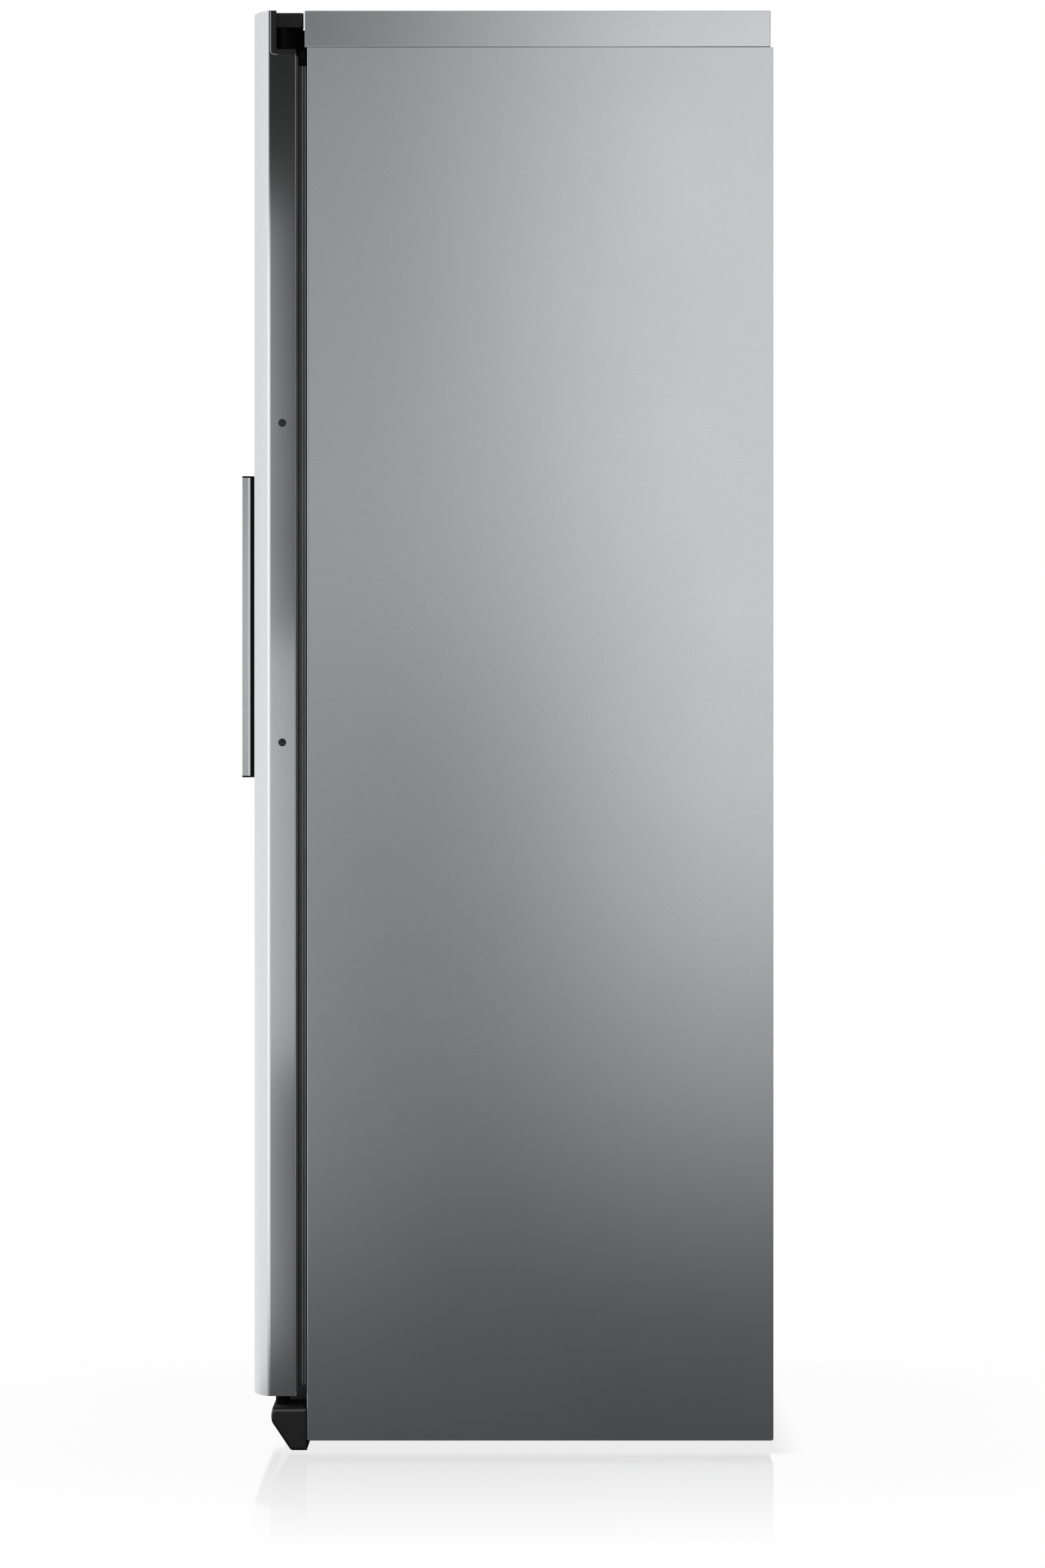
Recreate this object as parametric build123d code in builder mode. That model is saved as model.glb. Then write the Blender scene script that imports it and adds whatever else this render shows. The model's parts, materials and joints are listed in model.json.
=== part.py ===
from build123d import *
import os

# Tall one-door refrigerator, an assembly of separate pieces, in millimetres.
# X runs to the right as seen from the front, Y to the back and Z up.
# The origin lies on the floor, under the middle of the overall box.

# Overall sizes
height = 1800  # floor to the top of the cover
width = 595
cabinet_depth = 583  # side panel, front to back
handle_reach = 39.5  # front of the door to the front of the handle

# Door outline seen from above
door_gap = 13.5  # cabinet front to the back edge of the door skin
door_side = 34.5  # flat side of the door
corner_run = 52  # curved corner, along the width
corner_rise = 20  # curved corner, along the depth
corner_bend = 6  # radius of the fold between side and corner
hem_radius = 1.5  # fold at the back edge
bow = 1.0  # crown of the front face
door_bottom = 69.6
door_return = 12  # flange folded in behind the door's edge

# Cabinet shell
ground_gap = 14  # floor to the lower edge of the side panels
cover_height = 46
cover_lip = 2.7  # cover in front of the cabinet
cover_short = 3.5  # cover short of the back edge
cover_wall = 2.0
arm_notch = 19  # height of the notch in the cover for the hinge arm
arm_play = 1.0  # arm to the notch and to the lid of the pocket
sheet = 1.0
edge_radius = 2.5  # front fold of the side panels
panel_nick = 3  # cut at their lower corners
front_flange = 40
rear_flange = 15
pan_sheet = 2.0
pan_side = 42  # upstand of the base pan

# Food space
wall = 50  # outside to inside, at the sides
ceiling = 55
back_wall = 52
floor_height = 110
liner_sheet = 1.5
compartment_depth = 230  # machine compartment, from the back edge
compartment_height = 250
hump_wall = 45  # insulation over the machine compartment
duct_depth = 45
shelf_setback = 118  # cabinet front to the front edge of the glass
shelf_gap = 2  # glass to the side wall
glass = 4
crisper_height = 490
shelf_pitch = 232
shelf_count = 5
ledge_width = 10
ledge_height = 8
trim_front = 6
trim_lap = 10  # trim over the glass
trim_under = 6
trim_over = 4
rear_stop = 14  # upstand of the rear trim

# Drawers
drawer_setback = 5  # behind the front edge of the glass
drawer_wall = 2.5
drawer_radius = 12
drawer_gap = 2
drawer_rest = 0.3  # running gap under a drawer
lower_drawer_height = 170
drawer_headroom = 10
drawer_lip = 8
drawer_lip_height = 14

# Hinges
pivot_inset = 20  # pivot axis, in from the side
pivot_setback = 30.5  # pivot axis, in front of the cabinet
pin_radius = 5
pin_clearance = 0.05
bush_radius = 7.5
arm_width = 14
hinge_sheet = 5
elbow_inset = 28.5  # bend of the arm, in from the pivot
hinge_plate_width = 44
hinge_plate_depth = 90
hinge_radius = 6  # corners of the hinge plate
lower_hinge_height = 57
lower_leg = 3  # sheet of the leg behind the kick plate
lower_leg_bottom = 22
collar_radius = 9
rest_gap = 0.3  # door over the collar of the lower pin

# Hinge pocket in the door's upper corners
pocket_length = 90
pocket_depth = 31.7
pocket_height = 54.8
pocket_wall = 7
pocket_floor = 6.5
pocket_lid = 19  # height of the lid from the top of the door
lid_drop = 1.0
lid_inset = 14.5  # lid, in from the side
lid_back = 9.1  # lid behind the door's back edge
lid_radius = 4.5
lid_taper = 4.5  # back edge of the lid, drawn in at its inner end
pocket_radius = 5
boss_play = 2.5  # boss to the flange behind the door's edge
boss_depth = 16
boss_floor = 3
door_cap = 14.4

# Door liner, rim and gasket
plate_inset = 6
door_sheet = 2.0
rim_gap = 12.5  # raised rim to the walls of the food space
rim_width = 22
rim_reach = 68
rim_radius = 5
gasket_inset = 23.5
gasket_width = 22
gasket_margin = 10.4  # gasket from the door's lower edge
gasket_top_margin = 7  # gasket below the hinge pocket
gasket_seal = 0.3  # gasket to the cabinet
gasket_radius = 12
# Frames of the gasket: start and end as shares of its depth, then its draw as a share of its width
gasket_steps = [(0.0, 0.3, 0), (0.3, 0.45, 0.18), (0.45, 0.7, 0.04), (0.7, 0.8, 0.2), (0.8, 1.0, 0.1)]

# Door bins
bin_gap = 19  # bins to the shelf trims
bin_height = 90
bottle_bin_height = 110
bin_wall = 2.5
bin_radius = 10
bin_side_gap = 1
bin_levels = {"bottle_bin": 165, "middle_bin": 560, "upper_bin": 940, "dairy_bin": 1300}
lug_size = 8
lug_height = 12
lug_length = 40
flap_sheet = 3
flap_round = 2.7
flap_rise = 42  # flap axis over the dairy bin
flap_setback = 13.5  # flap axis behind the liner
flap_pin = 3
flap_gap = 1.5
flap_socket = 1  # wall behind the flap's pin hole
ear_size = 8
ear_half = 8

# Handle
handle_length = 406
handle_middle = 1046
handle_inset = 65.5  # middle of the bar, in from the side
handle_width = 26
handle_bar_depth = 10.8
handle_round = 1.5  # front edges of the bar
handle_bevel = 3  # rear edges of the bar
insert_depth = 5.3
insert_width = 22
insert_cap = 2.3
post_width = 18
post_length = 40
post_spacing = 320
post_gap = 0.05

# Blanking plugs in the door's edge
plug_radius = 5
plug_length = 8
plug_sink = 0.3
plug_setback = 17.1  # in front of the door's back edge
plug_middle = 1085.5
plug_spacing = 399

# Kick plate
kick_top = 54
kick_reach = 44.6
kick_bottom = 1.5
kick_toe = 20
kick_nose_low = 38
kick_nose_high = 48
kick_slope = 1.5
kick_wall = 2.5
kick_nose_round = 14
kick_toe_round = 5
kick_edge = 4.5

# Feet and rollers
foot_inset = 132.5
foot_setback = 40
foot_pad = 18
foot_pad_height = 10
stud_radius = 5
stud_clearance = 0.05
stud_spare = 6  # stud below the insulation
nut_radius = 9
nut_height = 14
roller_radius = 20
roller_width = 22
roller_inset = 127.5
roller_setback = 45
axle_radius = 4
axle_clearance = 0.05
ear_sheet = 3
roller_play = 0.5
slot_play = 3

# Cooling
compressor_x = 60
compressor_radius = 75
compressor_height = 160
compressor_dome = 32
seam_radius = 79
seam_height = 5
mount_width = 190
mount_depth = 120
mount_sheet = 3
grommet_radius = 12
grommet_height = 12
grommet_margin = 16
stub_radius = 5
stub_length = 12
stub_height = 80
pipe_radius = 3
pipe_bend = 15
drop_bend = 9  # tighter bends on the way to the drier
pipe_drop = 50
drier_radius = 10
drier_length = 110
drier_x = -100
drain_width = 210
drain_depth = 160
drain_height = 38
drain_wall = 2
cover_inset = 7  # compartment cover, in front of the back edge
cover_margin = 4
vent_length = 34
vent_width = 5
vent_pitch = 46
vent_row = 16
vent_columns = 8
vent_rows = 7
gland_radius = 14
gland_flange = 3
gland_nose = 8
gland_bore = 4
gland_x = -220
gland_z = 190
coil_width = 340
coil_height = 300
coil_fin = 1
coil_pitch = 10
coil_tube = 4
coil_rows = (0.15, 0.38, 0.62, 0.85)  # tubes, as shares of the coil's height
coil_rise = 40  # over the hump
coil_end = 2
fin_margin = 3
duct_width = 400
duct_sheet = 2.5
duct_gap = 3
slot_length = 70
slot_width = 8
fan_drop = 150  # below the ceiling
fan_size = 120
fan_depth = 25
fan_bore = 55
fan_tip = 52
fan_hub = 17
fan_shaft = 2
fan_clearance = 0.05
fan_web = 3
blade_count = 7
blade_width = 14
blade_sheet = 2
blade_pitch = 35

# Controls and light
control_setback = 80
control_width = 300
control_depth = 100
control_height = 28
control_wall = 2
button_radius = 6
button_gap = 0.3
button_pitch = 40
button_proud = 1.5
button_stem = 6
button_flange = 2
button_collar = 8
button_travel = 1.0
lens_width = 200
lens_depth = 60
lens_sheet = 2.5
lens_lap = 4
board_sheet = 2
board_margin = 6

# Screws
screw_radius = 2.5
screw_clearance = 0.1
screw_head = 4.5
screw_head_height = 3
screw_length = 20
hole_spare = 1  # hole beyond the tip of a screw
hinge_screw_side = 12  # front screws of the upper hinge, each side of the elbow
hinge_screw_front = 20  # behind the cabinet front
hinge_screw_rear = 68
leg_screw = 8  # over the leg's lower end
leg_screw_pitch = 16
cover_screws = (-0.8, -0.3, 0.3, 0.8)  # shares of the half width

# Places worked out from the sizes above
half_width = width / 2
door_depth = door_gap + door_side + corner_rise + bow
back_y = (cabinet_depth + door_depth + handle_reach) / 2
cabinet_y = back_y - cabinet_depth
door_back_y = cabinet_y - door_gap
bend_y = door_back_y - door_side
shoulder_y = bend_y - corner_rise
door_y = shoulder_y - bow
handle_y = door_y - handle_reach
shoulder_x = half_width - corner_run

panel_top = height - cover_height
ceiling_z = panel_top - ceiling
floor_z = floor_height
inner_half = half_width - wall
liner_lip = wall - front_flange
liner_y = back_y - back_wall
fold_y = cabinet_y + max(edge_radius, pan_sheet)  # behind the front folds
foam_back_y = back_y - 2 * sheet
foam_bottom = ground_gap + pan_side
compartment_y = back_y - compartment_depth
hump_y = compartment_y - hump_wall
hump_z = compartment_height + hump_wall
duct_y = liner_y - duct_depth
shelf_y = cabinet_y + shelf_setback
shelf_back_y = duct_y - duct_gap
shelf_half = inner_half - shelf_gap
shelf_levels = [crisper_height + number * shelf_pitch for number in range(shelf_count)]
pan_top = ground_gap + pan_sheet
between_flanges = (front_flange - half_width, half_width - front_flange)

drawer_y = shelf_y + drawer_setback
drawer_half = inner_half - drawer_gap
upper_drawer_z = hump_z + drawer_headroom
upper_drawer_top = crisper_height - drawer_headroom
lower_drawer_z = floor_z + drawer_rest

pivot_x = half_width - pivot_inset
pivot_y = cabinet_y - pivot_setback
elbow_x = pivot_x - elbow_inset
hinge_plate_y = cabinet_y + hinge_plate_depth / 2
lower_hinge_top = lower_hinge_height + hinge_sheet
leg_ends = (pivot_x - arm_width, pivot_x + arm_width / 2)

pocket_x = half_width - pocket_length
pocket_y = door_back_y - pocket_depth
pocket_z = height - pocket_height
pocket_floor_z = pocket_z + pocket_floor
pocket_front_y = pocket_y + pocket_wall
boss_z = pocket_z - boss_depth
boss_radius = pivot_setback - door_gap - sheet - boss_play
lid_z = height - pocket_lid

plate_y = door_back_y + door_sheet
plate_half = half_width - plate_inset
plate_bottom = door_bottom + plate_inset
plate_top = pocket_z - door_sheet
rim_half = inner_half - rim_gap
rim_inner = rim_half - rim_width
rim_y = plate_y + rim_reach
rim_bottom = floor_z + rim_gap
rim_top = ceiling_z - rim_gap
gasket_half = half_width - gasket_inset
gasket_bottom = door_bottom + gasket_margin
gasket_top = pocket_z - gasket_top_margin
gasket_y = cabinet_y - gasket_seal
bin_y = shelf_y - trim_front - bin_gap
bin_half = rim_inner - bin_side_gap
lug_y = (plate_y + rim_y) / 2
flap_y = plate_y + flap_setback
flap_z = bin_levels["dairy_bin"] + bin_height + flap_rise
flap_half = rim_inner - ear_size - flap_gap

handle_x = handle_inset - half_width
handle_bottom = handle_middle - handle_length / 2
handle_top = handle_middle + handle_length / 2
bar_back_y = handle_y + handle_bar_depth
insert_back_y = bar_back_y + insert_depth
post_near_x = handle_x + post_width / 2
post_end_y = door_y + bow * (post_near_x / shoulder_x) ** 2 - post_gap
plug_y = door_back_y - plug_setback

foot_x = half_width - foot_inset
foot_y = cabinet_y + foot_setback
roller_x = half_width - roller_inset
roller_y = back_y - roller_setback
compressor_y = compartment_y + compartment_depth / 2
grommet_top = pan_top + grommet_height
shell_bottom = grommet_top + mount_sheet
shell_top = shell_bottom + compressor_height
stub_z = shell_bottom + stub_height
machine_cover_y = back_y - cover_inset
cover_lip_y = machine_cover_y - sheet
coil_z = hump_z + coil_rise
fan_z = ceiling_z - fan_drop
fan_y = duct_y + duct_sheet
control_y = cabinet_y + control_setback
control_z = ceiling_z - control_height
button_z = ceiling_z - control_height / 2
button_back_y = control_y + control_wall + button_flange + button_stem

os.makedirs("parts", exist_ok=True)
sides = {"left": -1, "right": 1}
cabinet_screws = []  # each one as the point under its head and the way it points


def block(x, y, z, mode=Mode.ADD):
    """Box between the two ends given along each axis."""
    middle = tuple(sum(ends) / 2 for ends in (x, y, z))
    size = [abs(ends[1] - ends[0]) for ends in (x, y, z)]
    with Locations(middle):
        Box(*size, mode=mode)


def rod(start, end, radius, mode=Mode.ADD):
    """Round bar from one point to another."""
    along = Vector(*end) - Vector(*start)
    with Locations(Plane(origin=start, z_dir=along)):
        Cylinder(radius, along.length, align=(Align.CENTER, Align.CENTER, Align.MIN), mode=mode)


def keep(piece, name):
    """Name a finished piece and write it."""
    piece.part.label = name
    export_step(piece.part, f"parts/{name}.step")


def door_outline(inset, level):
    """Plan of the door at a height, drawn in from its outside by an inset."""
    with BuildSketch(Plane.XY.offset(level)) as plan:
        with BuildLine():
            left_bend = (-half_width, bend_y)
            right_bend = (half_width, bend_y)
            left_shoulder = (-shoulder_x, shoulder_y)
            right_shoulder = (shoulder_x, shoulder_y)
            Polyline(left_bend, (-half_width, door_back_y), (half_width, door_back_y), right_bend)
            TangentArc(right_shoulder, right_bend, tangent=(1, 0))
            ThreePointArc(right_shoulder, (0, door_y), left_shoulder)
            TangentArc(left_shoulder, left_bend, tangent=(-1, 0))
        make_face()
        fillet(plan.vertices().group_by(Axis.Y)[-1], hem_radius)
        fillet(plan.vertices().group_by(Axis.Y)[1], corner_bend)
        if inset:
            offset(amount=-inset, kind=Kind.INTERSECTION, mode=Mode.REPLACE)
    return plan.sketch


def tub(half, y, z, skin, radius):
    """Open tub with rounded upright corners."""
    middle_y = (y[0] + y[1]) / 2
    depth = y[1] - y[0]
    with BuildPart() as shell:
        with BuildSketch(Plane.XY.offset(z[0])):
            with Locations((0, middle_y)):
                RectangleRounded(2 * half, depth, radius)
        extrude(amount=z[1] - z[0])
        with BuildSketch(Plane.XY.offset(z[0] + skin)):
            with Locations((0, middle_y)):
                RectangleRounded(2 * (half - skin), depth - 2 * skin, radius - skin)
        extrude(amount=z[1] - z[0] - skin, mode=Mode.SUBTRACT)
    return shell


def rim_cores():
    """Ends of the four foam bars inside the raised rim of the door liner."""
    low = rim_bottom + door_sheet
    high = rim_top - door_sheet
    core = rim_width - 2 * door_sheet
    depth = (door_back_y, rim_y - door_sheet)
    upright = rim_inner + door_sheet
    across = (-upright, upright)
    bars = [(across, depth, (low, low + core)), (across, depth, (high - core, high))]
    for side in sides.values():
        bars.append(((side * upright, side * (rim_half - door_sheet)), depth, (low, high)))
    return bars


def cavity(grow):
    """Side view of the food space, grown by a wall, as a closed outline."""
    return Polyline(
        (cabinet_y, floor_z - grow),
        (hump_y + grow, floor_z - grow),
        (hump_y + grow, hump_z - grow),
        (liner_y + grow, hump_z - grow),
        (liner_y + grow, ceiling_z + grow),
        (cabinet_y, ceiling_z + grow),
        close=True,
    )


# Screw places
hinge_screws = [(0, hinge_screw_rear)]
for side in sides.values():
    hinge_screws.append((side * hinge_screw_side, hinge_screw_front))
for screw_x, screw_y in hinge_screws:
    cabinet_screws.append(((elbow_x + screw_x, cabinet_y + screw_y, panel_top + hinge_sheet), (0, 0, -1)))
for screw_rise in (leg_screw, leg_screw + leg_screw_pitch):
    cabinet_screws.append(((pivot_x, cabinet_y - lower_leg, lower_leg_bottom + screw_rise), (0, 1, 0)))
for share in cover_screws:
    screw_z = pan_top + cover_margin + 3 * screw_radius
    cabinet_screws.append(((share * half_width, machine_cover_y, screw_z), (0, -1, 0)))


def screw_holes():
    """Clearance holes for every cabinet screw."""
    for head, way in cabinet_screws:
        tip = Vector(*head) + Vector(*way) * (screw_length + hole_spare)
        rod(head, tuple(tip), screw_radius + screw_clearance, mode=Mode.SUBTRACT)


# Side panels
panel_heights = (ground_gap, panel_top)
for name, side in sides.items():
    with BuildPart() as side_panel:
        outside = side * half_width
        block((outside - side * sheet, outside), (cabinet_y, back_y), panel_heights)
        block((outside - side * front_flange, outside), (cabinet_y, cabinet_y + sheet), panel_heights)
        block((outside - side * rear_flange, outside), (back_y - sheet, back_y), panel_heights)
        fold = side_panel.edges().filter_by(Axis.Z)
        inner = fold.sort_by_distance((outside - side * sheet, cabinet_y + sheet, height / 2))[0]
        outer = fold.sort_by_distance((outside, cabinet_y, height / 2))[0]
        fillet(inner, edge_radius - sheet)
        fillet(outer, edge_radius)
        for corner_y, way in ((cabinet_y, 1), (back_y, -1)):
            with BuildSketch(Plane.YZ):
                with BuildLine():
                    Polyline(
                        (corner_y, ground_gap),
                        (corner_y + way * panel_nick, ground_gap),
                        (corner_y, ground_gap + panel_nick / 2),
                        close=True,
                    )
                make_face()
            extrude(amount=half_width, both=True, mode=Mode.SUBTRACT)
        screw_holes()
    keep(side_panel, f"side_panel_{name}")

# Top panel under the cover
with BuildPart() as top_panel:
    block((sheet - half_width, half_width - sheet), (fold_y, foam_back_y), (panel_top - sheet, panel_top))
    block(between_flanges, (cabinet_y, fold_y), (panel_top - sheet, panel_top))
    block(between_flanges, (cabinet_y, cabinet_y + sheet), (ceiling_z + liner_lip, panel_top))
    screw_holes()
keep(top_panel, "top_panel")

# Top cover with a notch for the hinge arm
with BuildPart() as top_cover:
    cover_y = (cabinet_y - cover_lip, back_y - cover_short)
    block((-half_width, half_width), cover_y, (panel_top, height))
    block(
        (cover_wall - half_width, half_width - cover_wall),
        (cover_y[0] + cover_wall, cover_y[1] - cover_wall),
        (panel_top, height - cover_wall),
        mode=Mode.SUBTRACT,
    )
    block(
        (elbow_x - arm_width, pivot_x + arm_width / 4),
        (cover_y[0], cover_y[0] + cover_wall),
        (panel_top, panel_top + arm_notch),
        mode=Mode.SUBTRACT,
    )
    fillet(top_cover.edges().group_by(Axis.Z)[-1], cover_wall / 2)
keep(top_cover, "top_cover")

# Back panel above the machine compartment
with BuildPart() as back_panel:
    block(
        (sheet - half_width, half_width - sheet),
        (foam_back_y, back_y - sheet),
        (compartment_height, panel_top),
    )
keep(back_panel, "back_panel")

# Base pan with nuts for the feet and slots for the rollers
with BuildPart() as base_pan:
    pan_half = half_width - sheet
    block((-pan_half, pan_half), (fold_y, back_y - sheet), (ground_gap, pan_top))
    block(between_flanges, (cabinet_y, fold_y), (ground_gap, pan_top))
    block(between_flanges, (cabinet_y, cabinet_y + pan_sheet), (ground_gap, floor_z - liner_lip))
    block((-pan_half, pan_half), (cover_lip_y - pan_sheet, cover_lip_y), (ground_gap, foam_bottom))
    for side in sides.values():
        block(
            (side * (pan_half - pan_sheet), side * pan_half),
            (fold_y, cover_lip_y),
            (ground_gap, foam_bottom),
        )
        rod((side * foot_x, foot_y, ground_gap), (side * foot_x, foot_y, pan_top + nut_height), nut_radius)
        rod(
            (side * foot_x, foot_y, ground_gap),
            (side * foot_x, foot_y, pan_top + nut_height),
            stud_radius + stud_clearance,
            mode=Mode.SUBTRACT,
        )
        slot_half = roller_width / 2 + roller_play
        block(
            (side * roller_x - slot_half, side * roller_x + slot_half),
            (roller_y - roller_radius - slot_play, roller_y + roller_radius + slot_play),
            (ground_gap, pan_top),
            mode=Mode.SUBTRACT,
        )
    screw_holes()
keep(base_pan, "base_pan")

# Insulation, as slabs that meet face to face round the food space
liner_half = inner_half + liner_sheet
foam_half = half_width - sheet
foam_top = panel_top - sheet
across = (-liner_half, liner_half)
slab_ends = [
    (across, (fold_y, foam_back_y), (ceiling_z + liner_sheet, foam_top)),
    (across, (fold_y, compartment_y), (foam_bottom, floor_z - liner_sheet)),
    (across, (liner_y + liner_sheet, foam_back_y), (compartment_height, ceiling_z + liner_sheet)),
    (across, (hump_y + liner_sheet, liner_y + liner_sheet), (compartment_height, hump_z - liner_sheet)),
    (across, (hump_y + liner_sheet, compartment_y), (floor_z - liner_sheet, compartment_height)),
]
for side in sides.values():
    side_x = (side * liner_half, side * foam_half)
    slab_ends.append((side_x, (fold_y, foam_back_y), (compartment_height, foam_top)))
    slab_ends.append((side_x, (fold_y, compartment_y), (foam_bottom, compartment_height)))
slabs = []
for ends in slab_ends:
    with BuildPart() as slab:
        block(*ends)
        screw_holes()
    slabs.append(slab.part)
insulation = Compound(label="insulation", children=slabs)
export_step(insulation, "parts/insulation.step")

# Inner liner with a front lip and ledges for shelves and the upper drawer
with BuildPart() as inner_liner:
    with BuildSketch(Plane.YZ):
        with BuildLine():
            cavity(liner_sheet)
        make_face()
    extrude(amount=liner_half, both=True)
    block(
        (-inner_half - liner_lip, inner_half + liner_lip),
        (cabinet_y, cabinet_y + liner_sheet),
        (floor_z - liner_lip, ceiling_z + liner_lip),
    )
    with BuildSketch(Plane.YZ):
        with BuildLine():
            cavity(0)
        make_face()
    extrude(amount=inner_half, both=True, mode=Mode.SUBTRACT)
    ledge_tops = shelf_levels + [upper_drawer_z - drawer_rest]
    for side in sides.values():
        for ledge_top in ledge_tops:
            block(
                (side * (inner_half - ledge_width), side * inner_half),
                (shelf_y + 2 * trim_lap, shelf_back_y - 2 * trim_lap),
                (ledge_top - ledge_height, ledge_top),
            )
keep(inner_liner, "inner_liner")

# Glass shelves and their trims
trims = []
for number, level in enumerate(shelf_levels, start=1):
    with BuildPart() as shelf:
        block((-shelf_half, shelf_half), (shelf_y, shelf_back_y), (level, level + glass))
    keep(shelf, f"glass_shelf_{number}")
    with BuildPart() as trim:
        block(
            (-shelf_half, shelf_half),
            (shelf_y - trim_front, shelf_y + trim_lap),
            (level - trim_under, level + glass + trim_over),
        )
        fillet(trim.edges().filter_by(Axis.X).group_by(Axis.Y)[0], trim_front / 2)
        block(
            (-shelf_half, shelf_half),
            (shelf_back_y - trim_lap, shelf_back_y + duct_gap / 2),
            (level - trim_over, level + glass + rear_stop),
        )
        block((-shelf_half, shelf_half), (shelf_y, shelf_back_y), (level, level + glass), mode=Mode.SUBTRACT)
        block(
            (-shelf_half, shelf_half),
            (shelf_y + trim_lap, shelf_back_y - trim_over),
            (level + glass, level + glass + rear_stop),
            mode=Mode.SUBTRACT,
        )
    trims.append(trim.part)
shelf_trims = Compound(label="shelf_trims", children=trims)
export_step(shelf_trims, "parts/shelf_trims.step")

# Drawers with a lip to pull
drawer_ends = {
    "lower_drawer": (hump_y - drawer_gap, lower_drawer_z, lower_drawer_z + lower_drawer_height),
    "upper_drawer": (duct_y - drawer_gap, upper_drawer_z, upper_drawer_top),
}
for name, (drawer_back, low, high) in drawer_ends.items():
    drawer = tub(drawer_half, (drawer_y, drawer_back), (low, high), drawer_wall, drawer_radius)
    with drawer:
        block(
            (-drawer_half + drawer_radius, drawer_half - drawer_radius),
            (drawer_y - drawer_lip, drawer_y),
            (high - drawer_lip_height, high),
        )
        lip_edges = drawer.edges().filter_by(Axis.X).group_by(Axis.Y)[0]
        fillet(lip_edges, drawer_lip / 3)
    keep(drawer, name)

# Duct cover in front of the evaporator, with air slots and a fan grille
duct_half = duct_width / 2
with BuildPart() as duct_cover:
    duct_z = (hump_z, ceiling_z - duct_gap)
    block((-duct_half, duct_half), (duct_y, liner_y), duct_z)
    block(
        (duct_sheet - duct_half, duct_half - duct_sheet),
        (duct_y + duct_sheet, liner_y),
        duct_z,
        mode=Mode.SUBTRACT,
    )
    slot_z = [level + shelf_pitch / 2 for level in shelf_levels[:-1]]
    with BuildSketch(Plane.XZ.offset(-duct_y)):
        with Locations(*[(x, z) for x in (-slot_length, slot_length) for z in slot_z]):
            SlotOverall(slot_length, slot_width)
        with Locations((0, fan_z)):
            with PolarLocations((fan_hub + fan_bore) / 2, 2 * blade_count):
                SlotOverall(fan_bore - fan_hub - 2 * fan_web, slot_width / 2)
    extrude(amount=-duct_sheet, mode=Mode.SUBTRACT)
keep(duct_cover, "duct_cover")

# Evaporator: a finned coil standing against the back of the liner
with BuildPart() as evaporator:
    coil_middle_z = coil_z + coil_height / 2
    fin_y = (duct_y + 2 * duct_sheet + fin_margin, liner_y - fin_margin)
    fin_count = int(coil_width / coil_pitch) - 1
    with Locations((0, (fin_y[0] + fin_y[1]) / 2, coil_middle_z)):
        with GridLocations(coil_pitch, 1, fin_count, 1):
            Box(coil_fin, fin_y[1] - fin_y[0], coil_height)
    for end_x in (-coil_width / 2, coil_width / 2):
        block((end_x - coil_end, end_x + coil_end), (fin_y[0], liner_y), (coil_z, coil_z + coil_height))
    for row in coil_rows:
        tube_z = coil_z + row * coil_height
        tube_y = (fin_y[0] + fin_y[1]) / 2
        rod((-coil_width / 2, tube_y, tube_z), (coil_width / 2, tube_y, tube_z), coil_tube)
keep(evaporator, "evaporator")

# Fan housing with its motor, and the fan wheel
with BuildPart() as fan_housing:
    fan_half = fan_size / 2
    fan_back_y = fan_y + fan_depth
    block((-fan_half, fan_half), (fan_y, fan_back_y), (fan_z - fan_half, fan_z + fan_half))
    rod((0, fan_y, fan_z), (0, fan_back_y, fan_z), fan_bore, mode=Mode.SUBTRACT)
    block((-fan_bore, fan_bore), (fan_back_y - fan_web, fan_back_y), (fan_z - fan_web, fan_z + fan_web))
    block((-fan_web, fan_web), (fan_back_y - fan_web, fan_back_y), (fan_z - fan_bore, fan_z + fan_bore))
    rod((0, fan_back_y, fan_z), (0, fan_back_y - 2 * fan_web, fan_z), fan_hub)
    rod((0, fan_back_y, fan_z), (0, fan_y + fan_web, fan_z), fan_shaft)
keep(fan_housing, "fan_housing")

with BuildPart() as fan_wheel:
    wheel_y = (fan_y + 2 * fan_web, fan_back_y - 3 * fan_web)
    rod((0, wheel_y[0], fan_z), (0, wheel_y[1], fan_z), fan_hub)
    blade_length = fan_tip - fan_hub + fan_web
    blade_middle = fan_tip - blade_length / 2
    with Locations(Plane(origin=(0, sum(wheel_y) / 2, fan_z), z_dir=(0, -1, 0))):
        with PolarLocations(blade_middle, blade_count):
            Box(blade_length, blade_width, blade_sheet, rotation=(blade_pitch, 0, 0))
    rod((0, wheel_y[0], fan_z), (0, wheel_y[1], fan_z), fan_shaft + fan_clearance, mode=Mode.SUBTRACT)
keep(fan_wheel, "fan_wheel")

# Control housing under the ceiling, its board, lens and buttons
control_half = control_width / 2
button_xs = {"power_button": -button_pitch, "colder_button": 0, "warmer_button": button_pitch}
with BuildPart() as control_housing:
    block((-control_half, control_half), (control_y, control_y + control_depth), (control_z, ceiling_z))
    block(
        (control_wall - control_half, control_half - control_wall),
        (control_y + control_wall, control_y + control_depth - control_wall),
        (control_z + control_wall, ceiling_z),
        mode=Mode.SUBTRACT,
    )
    for x in button_xs.values():
        rod(
            (x, control_y, button_z),
            (x, control_y + control_wall, button_z),
            button_radius + button_gap,
            mode=Mode.SUBTRACT,
        )
    lens_middle_y = control_y + control_depth / 2
    block(
        (lens_lap - lens_width / 2, lens_width / 2 - lens_lap),
        (lens_middle_y - lens_depth / 2 + lens_lap, lens_middle_y + lens_depth / 2 - lens_lap),
        (control_z, control_z + control_wall),
        mode=Mode.SUBTRACT,
    )
keep(control_housing, "control_housing")

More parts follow.
